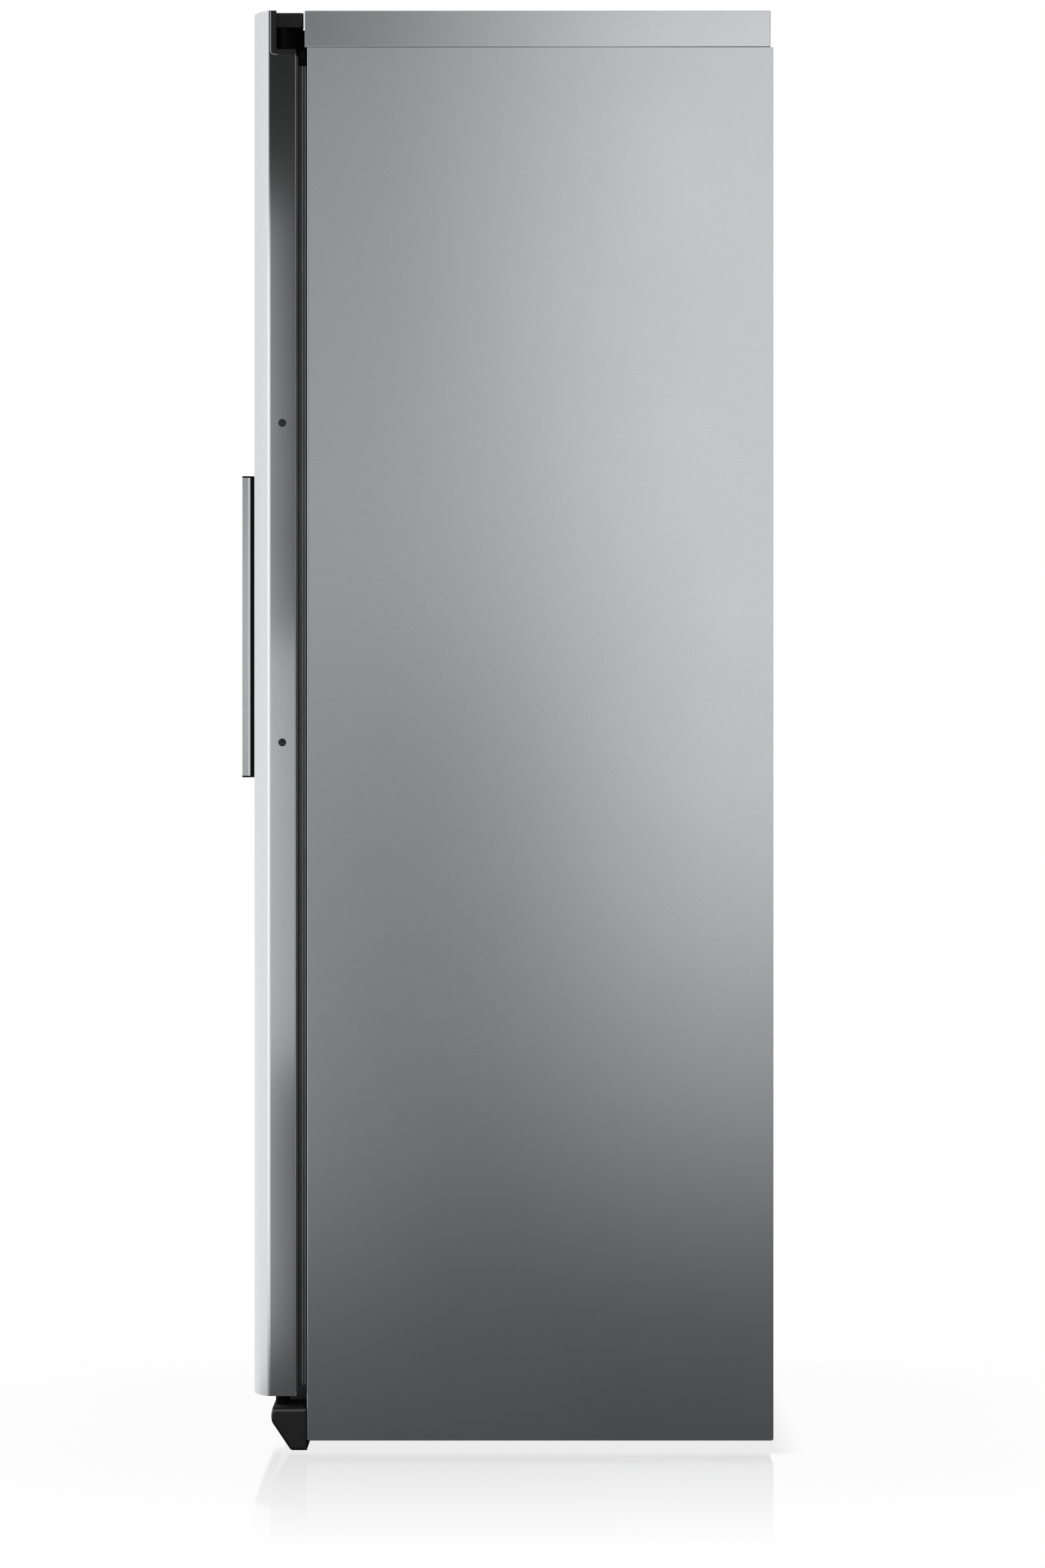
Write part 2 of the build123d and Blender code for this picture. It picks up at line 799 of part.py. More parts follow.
for name, x in button_xs.items():
    with BuildPart() as button:
        collar_y = control_y + control_wall + button_gap / 3
        rod((x, control_y - button_proud, button_z), (x, collar_y, button_z), button_radius)
        fillet(button.edges().group_by(Axis.Y)[0], button_proud / 2)
        rod((x, collar_y, button_z), (x, collar_y + button_flange, button_z), button_collar)
        rod((x, collar_y, button_z), (x, button_back_y, button_z), button_radius / 2)
    keep(button, name)

with BuildPart() as control_board:
    board_y = button_back_y + button_travel + button_gap
    block(
        (board_margin - control_half, control_half - board_margin),
        (board_y, board_y + board_sheet),
        (control_z + control_wall, ceiling_z - control_wall),
    )
keep(control_board, "control_board")

with BuildPart() as lamp_lens:
    block(
        (-lens_width / 2, lens_width / 2),
        (lens_middle_y - lens_depth / 2, lens_middle_y + lens_depth / 2),
        (control_z - lens_sheet, control_z),
    )
    fillet(lamp_lens.edges().group_by(Axis.Z)[0], lens_sheet / 2)
keep(lamp_lens, "lamp_lens")

# Upper hinge: a plate on the cabinet and a deep arm, stepped down where it passes under the cover
with BuildPart() as top_hinge:
    with BuildSketch(Plane.XY.offset(panel_top)):
        with Locations((pivot_x, pivot_y), (elbow_x, cabinet_y)):
            Circle(arm_width / 2)
        make_hull()
    extrude(amount=lid_z - arm_play - panel_top)
    block(
        (pocket_x, half_width),
        (cabinet_y - cover_lip - arm_play, cabinet_y + arm_width),
        (panel_top + arm_notch - arm_play, lid_z),
        mode=Mode.SUBTRACT,
    )
    with BuildSketch(Plane.XY.offset(panel_top)):
        with Locations((elbow_x, hinge_plate_y)):
            RectangleRounded(hinge_plate_width, hinge_plate_depth, hinge_radius)
    extrude(amount=hinge_sheet)
    rod((pivot_x, pivot_y, panel_top), (pivot_x, pivot_y, boss_z + 2 * boss_floor), pin_radius)
    screw_holes()
keep(top_hinge, "top_hinge")

# Lower hinge
with BuildPart() as bottom_hinge:
    with BuildSketch(Plane.XY.offset(lower_hinge_height)):
        with Locations((pivot_x, pivot_y)):
            Circle(arm_width / 2)
        with Locations((sum(leg_ends) / 2, cabinet_y - lower_leg / 2)):
            Rectangle(leg_ends[1] - leg_ends[0], lower_leg)
        make_hull()
    extrude(amount=hinge_sheet)
    block(leg_ends, (cabinet_y - lower_leg, cabinet_y), (lower_leg_bottom, lower_hinge_top))
    pivot_foot = (pivot_x, pivot_y, lower_hinge_height)
    rod(pivot_foot, (pivot_x, pivot_y, door_bottom - rest_gap), collar_radius)
    rod(pivot_foot, (pivot_x, pivot_y, door_bottom + door_cap - boss_floor), pin_radius)
    screw_holes()
keep(bottom_hinge, "bottom_hinge")

# Kick plate, hollow and open at the back, with a rounded nose and toe
with BuildPart() as kick_plate:
    toe_corner = (cabinet_y - kick_toe, kick_bottom)
    nose_corner = (cabinet_y - kick_reach, kick_nose_low)
    with BuildSketch(Plane.YZ) as kick_section:
        with BuildLine():
            Polyline(
                (cabinet_y, kick_bottom),
                toe_corner,
                nose_corner,
                (cabinet_y - kick_reach, kick_nose_high),
                (cabinet_y - kick_reach + kick_slope, kick_top),
                (cabinet_y, kick_top),
                close=True,
            )
        make_face()
        fillet(kick_section.vertices().sort_by_distance(nose_corner)[0], kick_nose_round)
        fillet(kick_section.vertices().sort_by_distance(toe_corner)[0], kick_toe_round)
    extrude(amount=half_width, both=True)
    fillet(kick_plate.edges().group_by(Axis.X)[0] + kick_plate.edges().group_by(Axis.X)[-1], kick_edge)
    with BuildSketch(Plane.YZ):
        add(kick_section.sketch.faces())
        offset(amount=-kick_wall, kind=Kind.INTERSECTION, mode=Mode.REPLACE)
        with Locations((cabinet_y - kick_toe / 2, (kick_bottom + kick_top) / 2)):
            Rectangle(kick_toe, kick_top - kick_bottom - 2 * kick_wall)
    extrude(amount=half_width - kick_wall, both=True, mode=Mode.SUBTRACT)
    block(
        (leg_ends[0] - kick_wall, leg_ends[1] + kick_wall),
        (cabinet_y - 2 * lower_leg, cabinet_y),
        (kick_top - kick_wall, kick_top),
        mode=Mode.SUBTRACT,
    )
keep(kick_plate, "kick_plate")

# Levelling feet
for name, side in sides.items():
    with BuildPart() as foot:
        middle = (side * foot_x, foot_y)
        rod((*middle, 0), (*middle, foot_pad_height), foot_pad)
        fillet(foot.edges().group_by(Axis.Z)[-1], foot_pad_height / 4)
        rod((*middle, 0), (*middle, foam_bottom - stud_spare), stud_radius)
    keep(foot, f"foot_{name}")

# Rear rollers and the brackets that carry them
brackets = []
for name, side in sides.items():
    middle_x = side * roller_x
    axle_ends = (middle_x - roller_width / 2, middle_x + roller_width / 2)
    with BuildPart() as roller:
        rod((axle_ends[0], roller_y, roller_radius), (axle_ends[1], roller_y, roller_radius), roller_radius)
        fillet(roller.edges().filter_by(GeomType.CIRCLE), roller_play * 3)
        rod(
            (axle_ends[0], roller_y, roller_radius),
            (axle_ends[1], roller_y, roller_radius),
            axle_radius + axle_clearance,
            mode=Mode.SUBTRACT,
        )
    keep(roller, f"roller_{name}")
    with BuildPart() as bracket:
        reach = roller_width / 2 + roller_play
        for way in sides.values():
            block(
                (middle_x + way * reach, middle_x + way * (reach + ear_sheet)),
                (roller_y - roller_radius, roller_y + roller_radius),
                (pan_top, roller_radius + 2 * axle_radius),
            )
        rod(
            (middle_x - reach - ear_sheet, roller_y, roller_radius),
            (middle_x + reach + ear_sheet, roller_y, roller_radius),
            axle_radius,
        )
    brackets.append(bracket.part)
roller_brackets = Compound(label="roller_brackets", children=brackets)
export_step(roller_brackets, "parts/roller_brackets.step")

# Compressor on rubber mounts
mount_half = mount_width / 2 - grommet_margin
mount_span = mount_depth / 2 - grommet_margin
with BuildPart() as compressor:
    shell_foot = (compressor_x, compressor_y, shell_bottom)
    shell_crown = (compressor_x, compressor_y, shell_top)
    rod(shell_foot, shell_crown, compressor_radius)
    fillet(compressor.edges().filter_by(GeomType.CIRCLE), compressor_dome)
    seam_z = (shell_bottom + shell_top) / 2
    rod(
        (compressor_x, compressor_y, seam_z - seam_height / 2),
        (compressor_x, compressor_y, seam_z + seam_height / 2),
        seam_radius,
    )
    block(
        (compressor_x - mount_width / 2, compressor_x + mount_width / 2),
        (compressor_y - mount_depth / 2, compressor_y + mount_depth / 2),
        (grommet_top, shell_bottom),
    )
    for side in sides.values():
        rod(
            (compressor_x, compressor_y, stub_z),
            (compressor_x + side * (compressor_radius + stub_length), compressor_y, stub_z),
            stub_radius,
        )
keep(compressor, "compressor")

with BuildPart() as compressor_mounts:
    with Locations((compressor_x, compressor_y, pan_top)):
        with GridLocations(2 * mount_half, 2 * mount_span, 2, 2):
            Cylinder(grommet_radius, grommet_height, align=(Align.CENTER, Align.CENTER, Align.MIN))
keep(compressor_mounts, "compressor_mounts")

# Pipes: discharge to the filter drier, and suction to the evaporator
discharge_x = compressor_x - compressor_radius - stub_length
suction_x = compressor_x + compressor_radius + stub_length
riser_x = max(suction_x + 2 * pipe_bend, compressor_x + drain_width / 2 + 3 * pipe_radius)
drier_z = (stub_z - drier_length / 4, stub_z + 3 * drier_length / 4)
pipe_y = compressor_y
with BuildPart() as discharge_pipe:
    with BuildLine() as discharge_path:
        FilletPolyline(
            (discharge_x, pipe_y, stub_z),
            (discharge_x / 2 + drier_x / 2, pipe_y, stub_z),
            (discharge_x / 2 + drier_x / 2, pipe_y, stub_z - pipe_drop),
            (drier_x, pipe_y, stub_z - pipe_drop),
            (drier_x, pipe_y, drier_z[0]),
            radius=drop_bend,
        )
    with BuildSketch(Plane(origin=discharge_path.line @ 0, z_dir=discharge_path.line % 0)):
        Circle(pipe_radius)
    sweep()
    rod((drier_x, pipe_y, drier_z[0]), (drier_x, pipe_y, drier_z[1]), drier_radius)
    chamfer(discharge_pipe.edges().filter_by(GeomType.CIRCLE).group_by(SortBy.LENGTH)[-1], drier_radius / 2)
    rod((drier_x, pipe_y, drier_z[1]), (drier_x, pipe_y, compartment_height), pipe_radius)
with BuildPart() as suction_pipe:
    with BuildLine() as suction_path:
        FilletPolyline(
            (suction_x, pipe_y, stub_z),
            (riser_x, pipe_y, stub_z),
            (riser_x, pipe_y, compartment_height),
            radius=pipe_bend,
        )
    with BuildSketch(Plane(origin=suction_path.line @ 0, z_dir=suction_path.line % 0)):
        Circle(pipe_radius)
    sweep()
refrigerant_pipes = Compound(label="refrigerant_pipes", children=[discharge_pipe.part, suction_pipe.part])
export_step(refrigerant_pipes, "parts/refrigerant_pipes.step")

# Drain pan on the compressor
with BuildPart() as drain_pan:
    drain_x = (compressor_x - drain_width / 2, compressor_x + drain_width / 2)
    drain_y = (compressor_y - drain_depth / 2, compressor_y + drain_depth / 2)
    drain_z = (shell_top, shell_top + drain_height)
    block(drain_x, drain_y, drain_z)
    fillet(drain_pan.edges().filter_by(Axis.Z), drawer_radius)
    block(
        (drain_x[0] + drain_wall, drain_x[1] - drain_wall),
        (drain_y[0] + drain_wall, drain_y[1] - drain_wall),
        (drain_z[0] + drain_wall, drain_z[1]),
        mode=Mode.SUBTRACT,
    )
keep(drain_pan, "drain_pan")

# Machine compartment cover with vents, and the gland for the power lead
with BuildPart() as machine_cover:
    cover_half = half_width - sheet - cover_margin
    cover_heights = (pan_top, compartment_height - cover_margin)
    block((-cover_half, cover_half), (cover_lip_y, machine_cover_y), cover_heights)
    vent_z = (foam_bottom + compartment_height) / 2
    with BuildSketch(Plane.XZ.offset(-machine_cover_y)):
        with Locations((compressor_x / 2, vent_z)):
            with GridLocations(vent_pitch, vent_row, vent_columns, vent_rows):
                SlotOverall(vent_length, vent_width)
        with Locations((gland_x, gland_z)):
            Circle(gland_nose)
    extrude(amount=sheet, mode=Mode.SUBTRACT)
    screw_holes()
keep(machine_cover, "machine_cover")

with BuildPart() as lead_gland:
    rod((gland_x, machine_cover_y, gland_z), (gland_x, machine_cover_y + gland_flange, gland_z), gland_radius)
    chamfer(lead_gland.edges().group_by(Axis.Y)[-1], gland_flange / 3)
    rod((gland_x, cover_lip_y - gland_flange, gland_z), (gland_x, back_y - sheet, gland_z), gland_nose)
    rod(
        (gland_x, cover_lip_y - gland_flange, gland_z),
        (gland_x, back_y - sheet, gland_z),
        gland_bore,
        mode=Mode.SUBTRACT,
    )
keep(lead_gland, "lead_gland")

# All cabinet screws
with BuildPart() as cabinet_screw_set:
    for head, way in cabinet_screws:
        start = Vector(*head)
        rod(head, tuple(start + Vector(*way) * screw_length), screw_radius)
        rod(head, tuple(start - Vector(*way) * screw_head_height), screw_head)
keep(cabinet_screw_set, "cabinet_screws")

# Door skin, folded in behind the edge and cut away for the hinge pockets
pocket_depths = (pocket_y, door_back_y)
pocket_heights = (pocket_z, height)
plug_levels = (plug_middle - plug_spacing / 2, plug_middle + plug_spacing / 2)


def pocket_form(side):
    """Outside of a hinge pocket, with its lower front corner rounded."""
    with BuildPart() as form:
        block((side * pocket_x, side * half_width), pocket_depths, pocket_heights)
        across_edges = form.edges().filter_by(Axis.X)
        fillet(across_edges.sort_by_distance((side * half_width, pocket_y, pocket_z))[0], pocket_radius)
    return form.part


def pocket_space():
    """Cut the room for a hinge pocket out of both upper corners."""
    for side in sides.values():
        add(pocket_form(side), mode=Mode.SUBTRACT)


def plug_holes():
    """Cut the holes for the blanking plugs into the door's right edge."""
    for level in plug_levels:
        rod(
            (half_width, plug_y, level),
            (half_width - plug_length, plug_y, level),
            plug_radius,
            mode=Mode.SUBTRACT,
        )


with BuildPart() as door_skin:
    extrude(door_outline(0, door_bottom), amount=height - door_bottom)
    extrude(door_outline(sheet, door_bottom), amount=height - door_bottom, mode=Mode.SUBTRACT)
    block(
        (door_return - half_width, half_width - door_return),
        (door_back_y - sheet, door_back_y),
        (door_bottom, height),
        mode=Mode.SUBTRACT,
    )
    pocket_space()
    plug_holes()
keep(door_skin, "door_skin")

# End caps of the door
cap_levels = {"door_bottom_cap": door_bottom, "door_top_cap": height - door_cap}
for name, level in cap_levels.items():
    with BuildPart() as cap:
        extrude(door_outline(sheet, level), amount=door_cap)
        pocket_space()
        rod(
            (pivot_x, pivot_y, door_bottom),
            (pivot_x, pivot_y, door_bottom + door_cap),
            bush_radius,
            mode=Mode.SUBTRACT,
        )
    keep(cap, name)

# Foam of the door: a slab, and bars that meet it and fill the liner's rim
with BuildPart() as foam_slab:
    foam_low = door_bottom + door_cap
    foam_high = height - door_cap
    extrude(door_outline(sheet, foam_low), amount=foam_high - foam_low)
    block(
        (door_return - half_width, half_width - door_return),
        (door_back_y - sheet, door_back_y),
        (foam_low, plate_top),
    )
    pocket_space()
    plug_holes()
    rod((pivot_x, pivot_y, boss_z), (pivot_x, pivot_y, height), boss_radius, mode=Mode.SUBTRACT)
door_fill = [foam_slab.part]
for ends in rim_cores():
    with BuildPart() as foam_bar:
        block(*ends)
    door_fill.append(foam_bar.part)
door_foam = Compound(label="door_foam", children=door_fill)
export_step(door_foam, "parts/door_foam.step")

# Hinge pocket, with a floor that holds the bush and a lid over the hinge arm
with BuildPart() as hinge_pocket:
    add(pocket_form(1))
    block(
        (pocket_x + pocket_wall, half_width),
        (pocket_front_y, door_back_y),
        (pocket_floor_z, height),
        mode=Mode.SUBTRACT,
    )
    lid_depths = (pocket_front_y, door_back_y + lid_back)
    lid_ends = (pocket_x + pocket_wall, half_width - lid_inset)
    with BuildSketch(Plane.XY.offset(lid_z)):
        Polygon(
            (lid_ends[0], lid_depths[0]),
            (lid_ends[1], lid_depths[0]),
            (lid_ends[1], lid_depths[1]),
            (lid_ends[0], lid_depths[1] - lid_taper),
            align=None,
        )
    extrude(amount=pocket_lid - lid_drop)
    upright_edges = hinge_pocket.edges().filter_by(Axis.Z)
    fillet(upright_edges.sort_by_distance((lid_ends[1], lid_depths[1], lid_z))[0], lid_radius)
    rod((pivot_x, pivot_y, boss_z), (pivot_x, pivot_y, pocket_floor_z), boss_radius)
    rod(
        (pivot_x, pivot_y, boss_z + boss_floor),
        (pivot_x, pivot_y, pocket_floor_z),
        bush_radius,
        mode=Mode.SUBTRACT,
    )
keep(hinge_pocket, "hinge_pocket")

# Blank in the other upper corner
with BuildPart() as hinge_blank:
    add(pocket_form(-1))
    block(
        (pocket_wall - half_width, -pocket_x - pocket_wall),
        (pocket_front_y, door_back_y - pocket_wall),
        (pocket_floor_z, height - pocket_floor),
        mode=Mode.SUBTRACT,
    )
keep(hinge_blank, "hinge_blank")

# Bushes that run on the hinge pins
with BuildPart() as hinge_bushes:
    for low, high in ((door_bottom, door_bottom + door_cap), (boss_z + boss_floor, pocket_floor_z)):
        rod((pivot_x, pivot_y, low), (pivot_x, pivot_y, high), bush_radius)
        rod((pivot_x, pivot_y, low), (pivot_x, pivot_y, high), pin_radius + pin_clearance, mode=Mode.SUBTRACT)
keep(hinge_bushes, "hinge_bushes")

# Blanking plugs
with BuildPart() as hole_plugs:
    for level in plug_levels:
        rod((half_width - plug_sink, plug_y, level), (half_width - plug_length, plug_y, level), plug_radius)
keep(hole_plugs, "hole_plugs")

# Inner door liner: plate, raised rim, lugs for the bins and ears for the flap
with BuildPart() as door_liner:
    block((-plate_half, plate_half), (door_back_y, plate_y), (plate_bottom, plate_top))
    block((-pocket_x, pocket_x), (door_back_y - sheet, plate_y), (plate_top, height))
    block((-rim_half, rim_half), (plate_y, rim_y), (rim_bottom, rim_top))
    block(
        (-rim_inner, rim_inner),
        (plate_y, rim_y),
        (rim_bottom + rim_width, rim_top - rim_width),
        mode=Mode.SUBTRACT,
    )
    fillet(door_liner.edges().group_by(Axis.Y)[-1], rim_radius)
    for ends in rim_cores():
        block(*ends, mode=Mode.SUBTRACT)
    for side in sides.values():
        for level in bin_levels.values():
            block(
                (side * (rim_inner - lug_size), side * rim_inner),
                (lug_y - lug_length / 2, lug_y + lug_length / 2),
                (level - lug_height, level),
            )
        block(
            (side * (rim_inner - ear_size), side * rim_inner),
            (plate_y, flap_y + ear_half),
            (flap_z - ear_half, flap_z + ear_half),
        )
        rod(
            (side * (rim_inner - ear_size), flap_y, flap_z),
            (side * (rim_inner - flap_socket), flap_y, flap_z),
            flap_pin + pin_clearance,
            mode=Mode.SUBTRACT,
        )
keep(door_liner, "door_liner")

# Gasket: base, neck, bulge and magnet lip, each a frame of its own width
gasket_depth = gasket_y - plate_y
with BuildPart() as door_gasket:
    middle_z = (gasket_bottom + gasket_top) / 2
    gasket_height = gasket_top - gasket_bottom
    for start, end, share in gasket_steps:
        draw_in = share * gasket_width
        frame_width = 2 * (gasket_half - draw_in)
        frame_height = gasket_height - 2 * draw_in
        strip = gasket_width - 2 * draw_in
        hollow = (frame_width - 2 * strip, frame_height - 2 * strip)
        with BuildSketch(Plane.XZ.offset(-(plate_y + start * gasket_depth))):
            with Locations((0, middle_z)):
                RectangleRounded(frame_width, frame_height, gasket_radius)
                RectangleRounded(*hollow, gasket_radius, mode=Mode.SUBTRACT)
        extrude(amount=-(end - start) * gasket_depth)
keep(door_gasket, "door_gasket")

# Door bins
for name, level in bin_levels.items():
    bin_rise = bottle_bin_height if name == "bottle_bin" else bin_height
    door_bin = tub(bin_half, (plate_y + bin_side_gap, bin_y), (level, level + bin_rise), bin_wall, bin_radius)
    keep(door_bin, name)

# Flap over the dairy bin, turning on two pins
with BuildPart() as dairy_flap:
    flap_low = bin_levels["dairy_bin"] + bin_height + flap_gap
    flap_reach = (flap_y, bin_y)
    block((-flap_half, flap_half), flap_reach, (flap_z - flap_sheet / 2, flap_z + flap_sheet / 2))
    block((-flap_half, flap_half), (bin_y - flap_sheet, bin_y), (flap_low, flap_z + flap_sheet / 2))
    front_edge = dairy_flap.edges().filter_by(Axis.X).group_by(Axis.Y)[-1].sort_by(Axis.Z)[-1]
    fillet(front_edge, flap_round)
    rod((-flap_half, flap_y, flap_z), (flap_half, flap_y, flap_z), flap_pin)
    pin_reach = rim_inner - 2 * flap_gap
    rod((-pin_reach, flap_y, flap_z), (pin_reach, flap_y, flap_z), flap_pin)
keep(dairy_flap, "dairy_flap")

# Handle
handle_ends = (handle_x - handle_width / 2, handle_x + handle_width / 2)
insert_ends = (handle_x - insert_width / 2, handle_x + insert_width / 2)


def bar_section(level):
    """Plan of the handle bar at a height, rounded in front and bevelled behind."""
    with BuildSketch(Plane.XY.offset(level)) as plan:
        with BuildLine():
            Polyline(
                (handle_ends[0], handle_y),
                (handle_ends[1], handle_y),
                (handle_ends[1], bar_back_y - handle_bevel),
                (insert_ends[1], bar_back_y),
                (insert_ends[0], bar_back_y),
                (handle_ends[0], bar_back_y - handle_bevel),
                close=True,
            )
        make_face()
        fillet(plan.vertices().group_by(Axis.Y)[0], handle_round)
    return plan.sketch


with BuildPart() as handle_bar:
    extrude(bar_section(handle_bottom + insert_cap), amount=handle_length - 2 * insert_cap)
keep(handle_bar, "handle_bar")

with BuildPart() as handle_insert:
    block(insert_ends, (bar_back_y, insert_back_y), (handle_bottom, handle_top))
    for low in (handle_bottom, handle_top - insert_cap):
        extrude(bar_section(low), amount=insert_cap)
keep(handle_insert, "handle_insert")

with BuildPart() as handle_posts:
    for level in (handle_middle - post_spacing / 2, handle_middle + post_spacing / 2):
        block(
            (handle_x - post_width / 2, handle_x + post_width / 2),
            (insert_back_y, post_end_y),
            (level - post_length / 2, level + post_length / 2),
        )
    fillet(handle_posts.edges().filter_by(Axis.Y), post_width / 4)
keep(handle_posts, "handle_posts")
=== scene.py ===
"""A tall one-door refrigerator in satin steel: finishes, fine trim and a plain studio."""
import json
import math

import bmesh
import bpy
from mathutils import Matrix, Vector


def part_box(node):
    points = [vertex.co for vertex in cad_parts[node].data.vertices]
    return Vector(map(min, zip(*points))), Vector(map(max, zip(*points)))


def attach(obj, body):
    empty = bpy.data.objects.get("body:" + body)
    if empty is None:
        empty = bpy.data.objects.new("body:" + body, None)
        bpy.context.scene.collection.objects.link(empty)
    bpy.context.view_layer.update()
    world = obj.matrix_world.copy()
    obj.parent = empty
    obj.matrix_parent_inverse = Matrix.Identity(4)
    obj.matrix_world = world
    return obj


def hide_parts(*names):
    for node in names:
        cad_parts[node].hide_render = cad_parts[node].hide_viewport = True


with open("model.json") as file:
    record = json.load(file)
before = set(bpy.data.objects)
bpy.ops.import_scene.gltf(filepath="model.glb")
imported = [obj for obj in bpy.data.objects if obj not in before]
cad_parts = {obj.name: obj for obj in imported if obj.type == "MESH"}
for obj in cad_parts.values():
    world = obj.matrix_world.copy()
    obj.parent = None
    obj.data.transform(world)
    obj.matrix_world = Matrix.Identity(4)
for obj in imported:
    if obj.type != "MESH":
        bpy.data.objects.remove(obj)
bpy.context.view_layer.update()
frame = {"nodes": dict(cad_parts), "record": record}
nodes = frame["nodes"]
mm = 0.001

# Where the camera stands, in metres, and its lens and the film's long side, in millimetres
camera_place = (6.7975, 0.03225, 0.834)
camera_lens = 119.5
camera_film = 36

# Soft boxes facing the right side: across, height, width, tall, radiance.
# The door skin, the handle bar, the top cover and the seal each have boxes of their own.
panel_boxes_x = 2.6
panel_boxes = (
    (0.493, 0.604, 0.84, 0.84, 0.467),
    (0.287, 1.853, 0.87, 1.61, 0.569),
    (-0.665, 0.670, 0.82, 1.29, 0.414),
    (0.617, 1.492, 0.87, 1.78, 0.554),
    (-0.706, 1.774, 0.80, 1.13, 0.444),
)
cover_boxes = (
    (0.287, 1.853, 0.87, 1.61, 0.569),
    (0.617, 1.492, 0.87, 1.78, 0.680),
    (-0.706, 1.774, 0.80, 1.13, 0.200),
)
door_boxes_x = 0.62
door_boxes = (
    (-0.205, 0.748, 0.24, 0.56, 0.340),
    (-0.674, 0.839, 0.71, 1.50, 0.923),
)
bar_boxes_x = 1.8
bar_boxes = ((-0.733, 1.060, 0.40, 0.68, 2.6),)
seal_boxes_x = 2.2
seal_boxes = ((-0.25, 0.95, 0.50, 1.90, 9.0),)

# The room's light by direction: where it fades, and what is left of it
room_fade = (0.5, 0.8)
room_beside = 0.25
room_far = 0.88
room_far_fade = (-1.0, -0.2)
room_turn = 0.6  # how far the dim part beside the camera turns to the back

# The floor, in metres from the cabinet's footprint: mirror close by, and a painted contact shadow, a
# darker line, where it stands
mirror_share = 0.28
mirror_reach = 0.85
mirror_roughness = 0.06
contact_shadow_reach = 0.04
contact_shadow_tone = 0.83

# The floor's light on the steel, by place: dim beside both side panels, bright before the door
floor_right = 0.056
floor_right_fade = (-0.1, 0.2)
floor_left = 0.2
floor_left_fade = (-4.0, -0.3)
floor_door_fade = (-0.45, -0.15)
floor_outside_fade = (0.35, 1.0)

# Places that the source also uses, in metres
plug_levels = (0.886, 1.285)
pocket_front = -0.28245
pocket_low = 1.7452
pocket_radius = 0.005
bar_bevel_front = -0.33795
# Width over which the handle bar's painted highlight fades in behind the bevels' front edge
bar_highlight_band = 0.0002
cover_screw_places = ((-0.238, 0.33875, 0.0275), (-0.08925, 0.33875, 0.0275),
                      (0.08925, 0.33875, 0.0275), (0.238, 0.33875, 0.0275))
leg_screw_places = ((0.2775, -0.24025, 0.030), (0.2775, -0.24025, 0.046))
hinge_screw_places = ((0.261, -0.21725, 1.759), (0.237, -0.21725, 1.759), (0.249, -0.16925, 1.759))
screw_radius = 0.0025
screw_length = 0.020
screw_head = 0.0045
screw_head_height = 0.003


# Finishes

def new_finish(name, colour, roughness, metallic=0.0):
    """A material whose even values sit on the shader's own sockets."""
    material = bpy.data.materials.new(name)
    material.use_nodes = True
    shader = material.node_tree.nodes["Principled BSDF"]
    shader.inputs["Base Color"].default_value = (*colour, 1.0)
    shader.inputs["Roughness"].default_value = roughness
    shader.inputs["Metallic"].default_value = metallic
    return material


def shader_of(material):
    """The one shader of a finish."""
    return material.node_tree.nodes["Principled BSDF"]


def placed(material, fineness, stretch):
    """Object coordinates, scaled for a pattern."""
    tree = material.node_tree
    place = tree.nodes.new("ShaderNodeTexCoord")
    mapping = tree.nodes.new("ShaderNodeMapping")
    mapping.inputs["Scale"].default_value = [fineness * share for share in stretch]
    tree.links.new(place.outputs["Object"], mapping.inputs["Vector"])
    return mapping.outputs["Vector"]


def noise(material, fineness, stretch=(1, 1, 1), detail=3.0, rough=0.5):
    """A cloudy pattern with so many cells in a metre."""
    tree = material.node_tree
    texture = tree.nodes.new("ShaderNodeTexNoise")
    texture.inputs["Scale"].default_value = 1.0
    texture.inputs["Detail"].default_value = detail
    texture.inputs["Roughness"].default_value = rough
    tree.links.new(placed(material, fineness, stretch), texture.inputs["Vector"])
    return texture.outputs["Fac"]


def cells(material, fineness, feature="F1", output="Distance"):
    """A pattern of cells, such as zinc spangle or foam."""
    tree = material.node_tree
    texture = tree.nodes.new("ShaderNodeTexVoronoi")
    texture.feature = feature
    texture.inputs["Scale"].default_value = 1.0
    tree.links.new(placed(material, fineness, (1, 1, 1)), texture.inputs["Vector"])
    return texture.outputs[output]


def spread(material, value, low, high, edges=(0.3, 0.7)):
    """The pattern's range moved to low and high."""
    tree = material.node_tree
    span = tree.nodes.new("ShaderNodeMapRange")
    span.inputs["From Min"].default_value = edges[0]
    span.inputs["From Max"].default_value = edges[1]
    span.inputs["To Min"].default_value = low
    span.inputs["To Max"].default_value = high
    tree.links.new(value, span.inputs["Value"])
    return span.outputs["Result"]


def vary_roughness(material, value, low, high):
    """Let a pattern drive the roughness between two values."""
    result = spread(material, value, low, high)
    material.node_tree.links.new(result, shader_of(material).inputs["Roughness"])


def vary_colour(material, value, first, second):
    """Let a pattern mix two colours."""
    tree = material.node_tree
    mix = tree.nodes.new("ShaderNodeMix")
    mix.data_type = "RGBA"
    tree.links.new(spread(material, value, 0.0, 1.0), mix.inputs[0])
    mix.inputs[6].default_value = (*first, 1.0)
    mix.inputs[7].default_value = (*second, 1.0)
    tree.links.new(mix.outputs[2], shader_of(material).inputs["Base Color"])


def relief(material, value, height, strength=1.0):
    """A fine relief of that height, in metres."""
    tree = material.node_tree
    bump = tree.nodes.new("ShaderNodeBump")
    bump.inputs["Strength"].default_value = strength
    bump.inputs["Distance"].default_value = height
    tree.links.new(value, bump.inputs["Height"])
    tree.links.new(bump.outputs["Normal"], shader_of(material).inputs["Normal"])


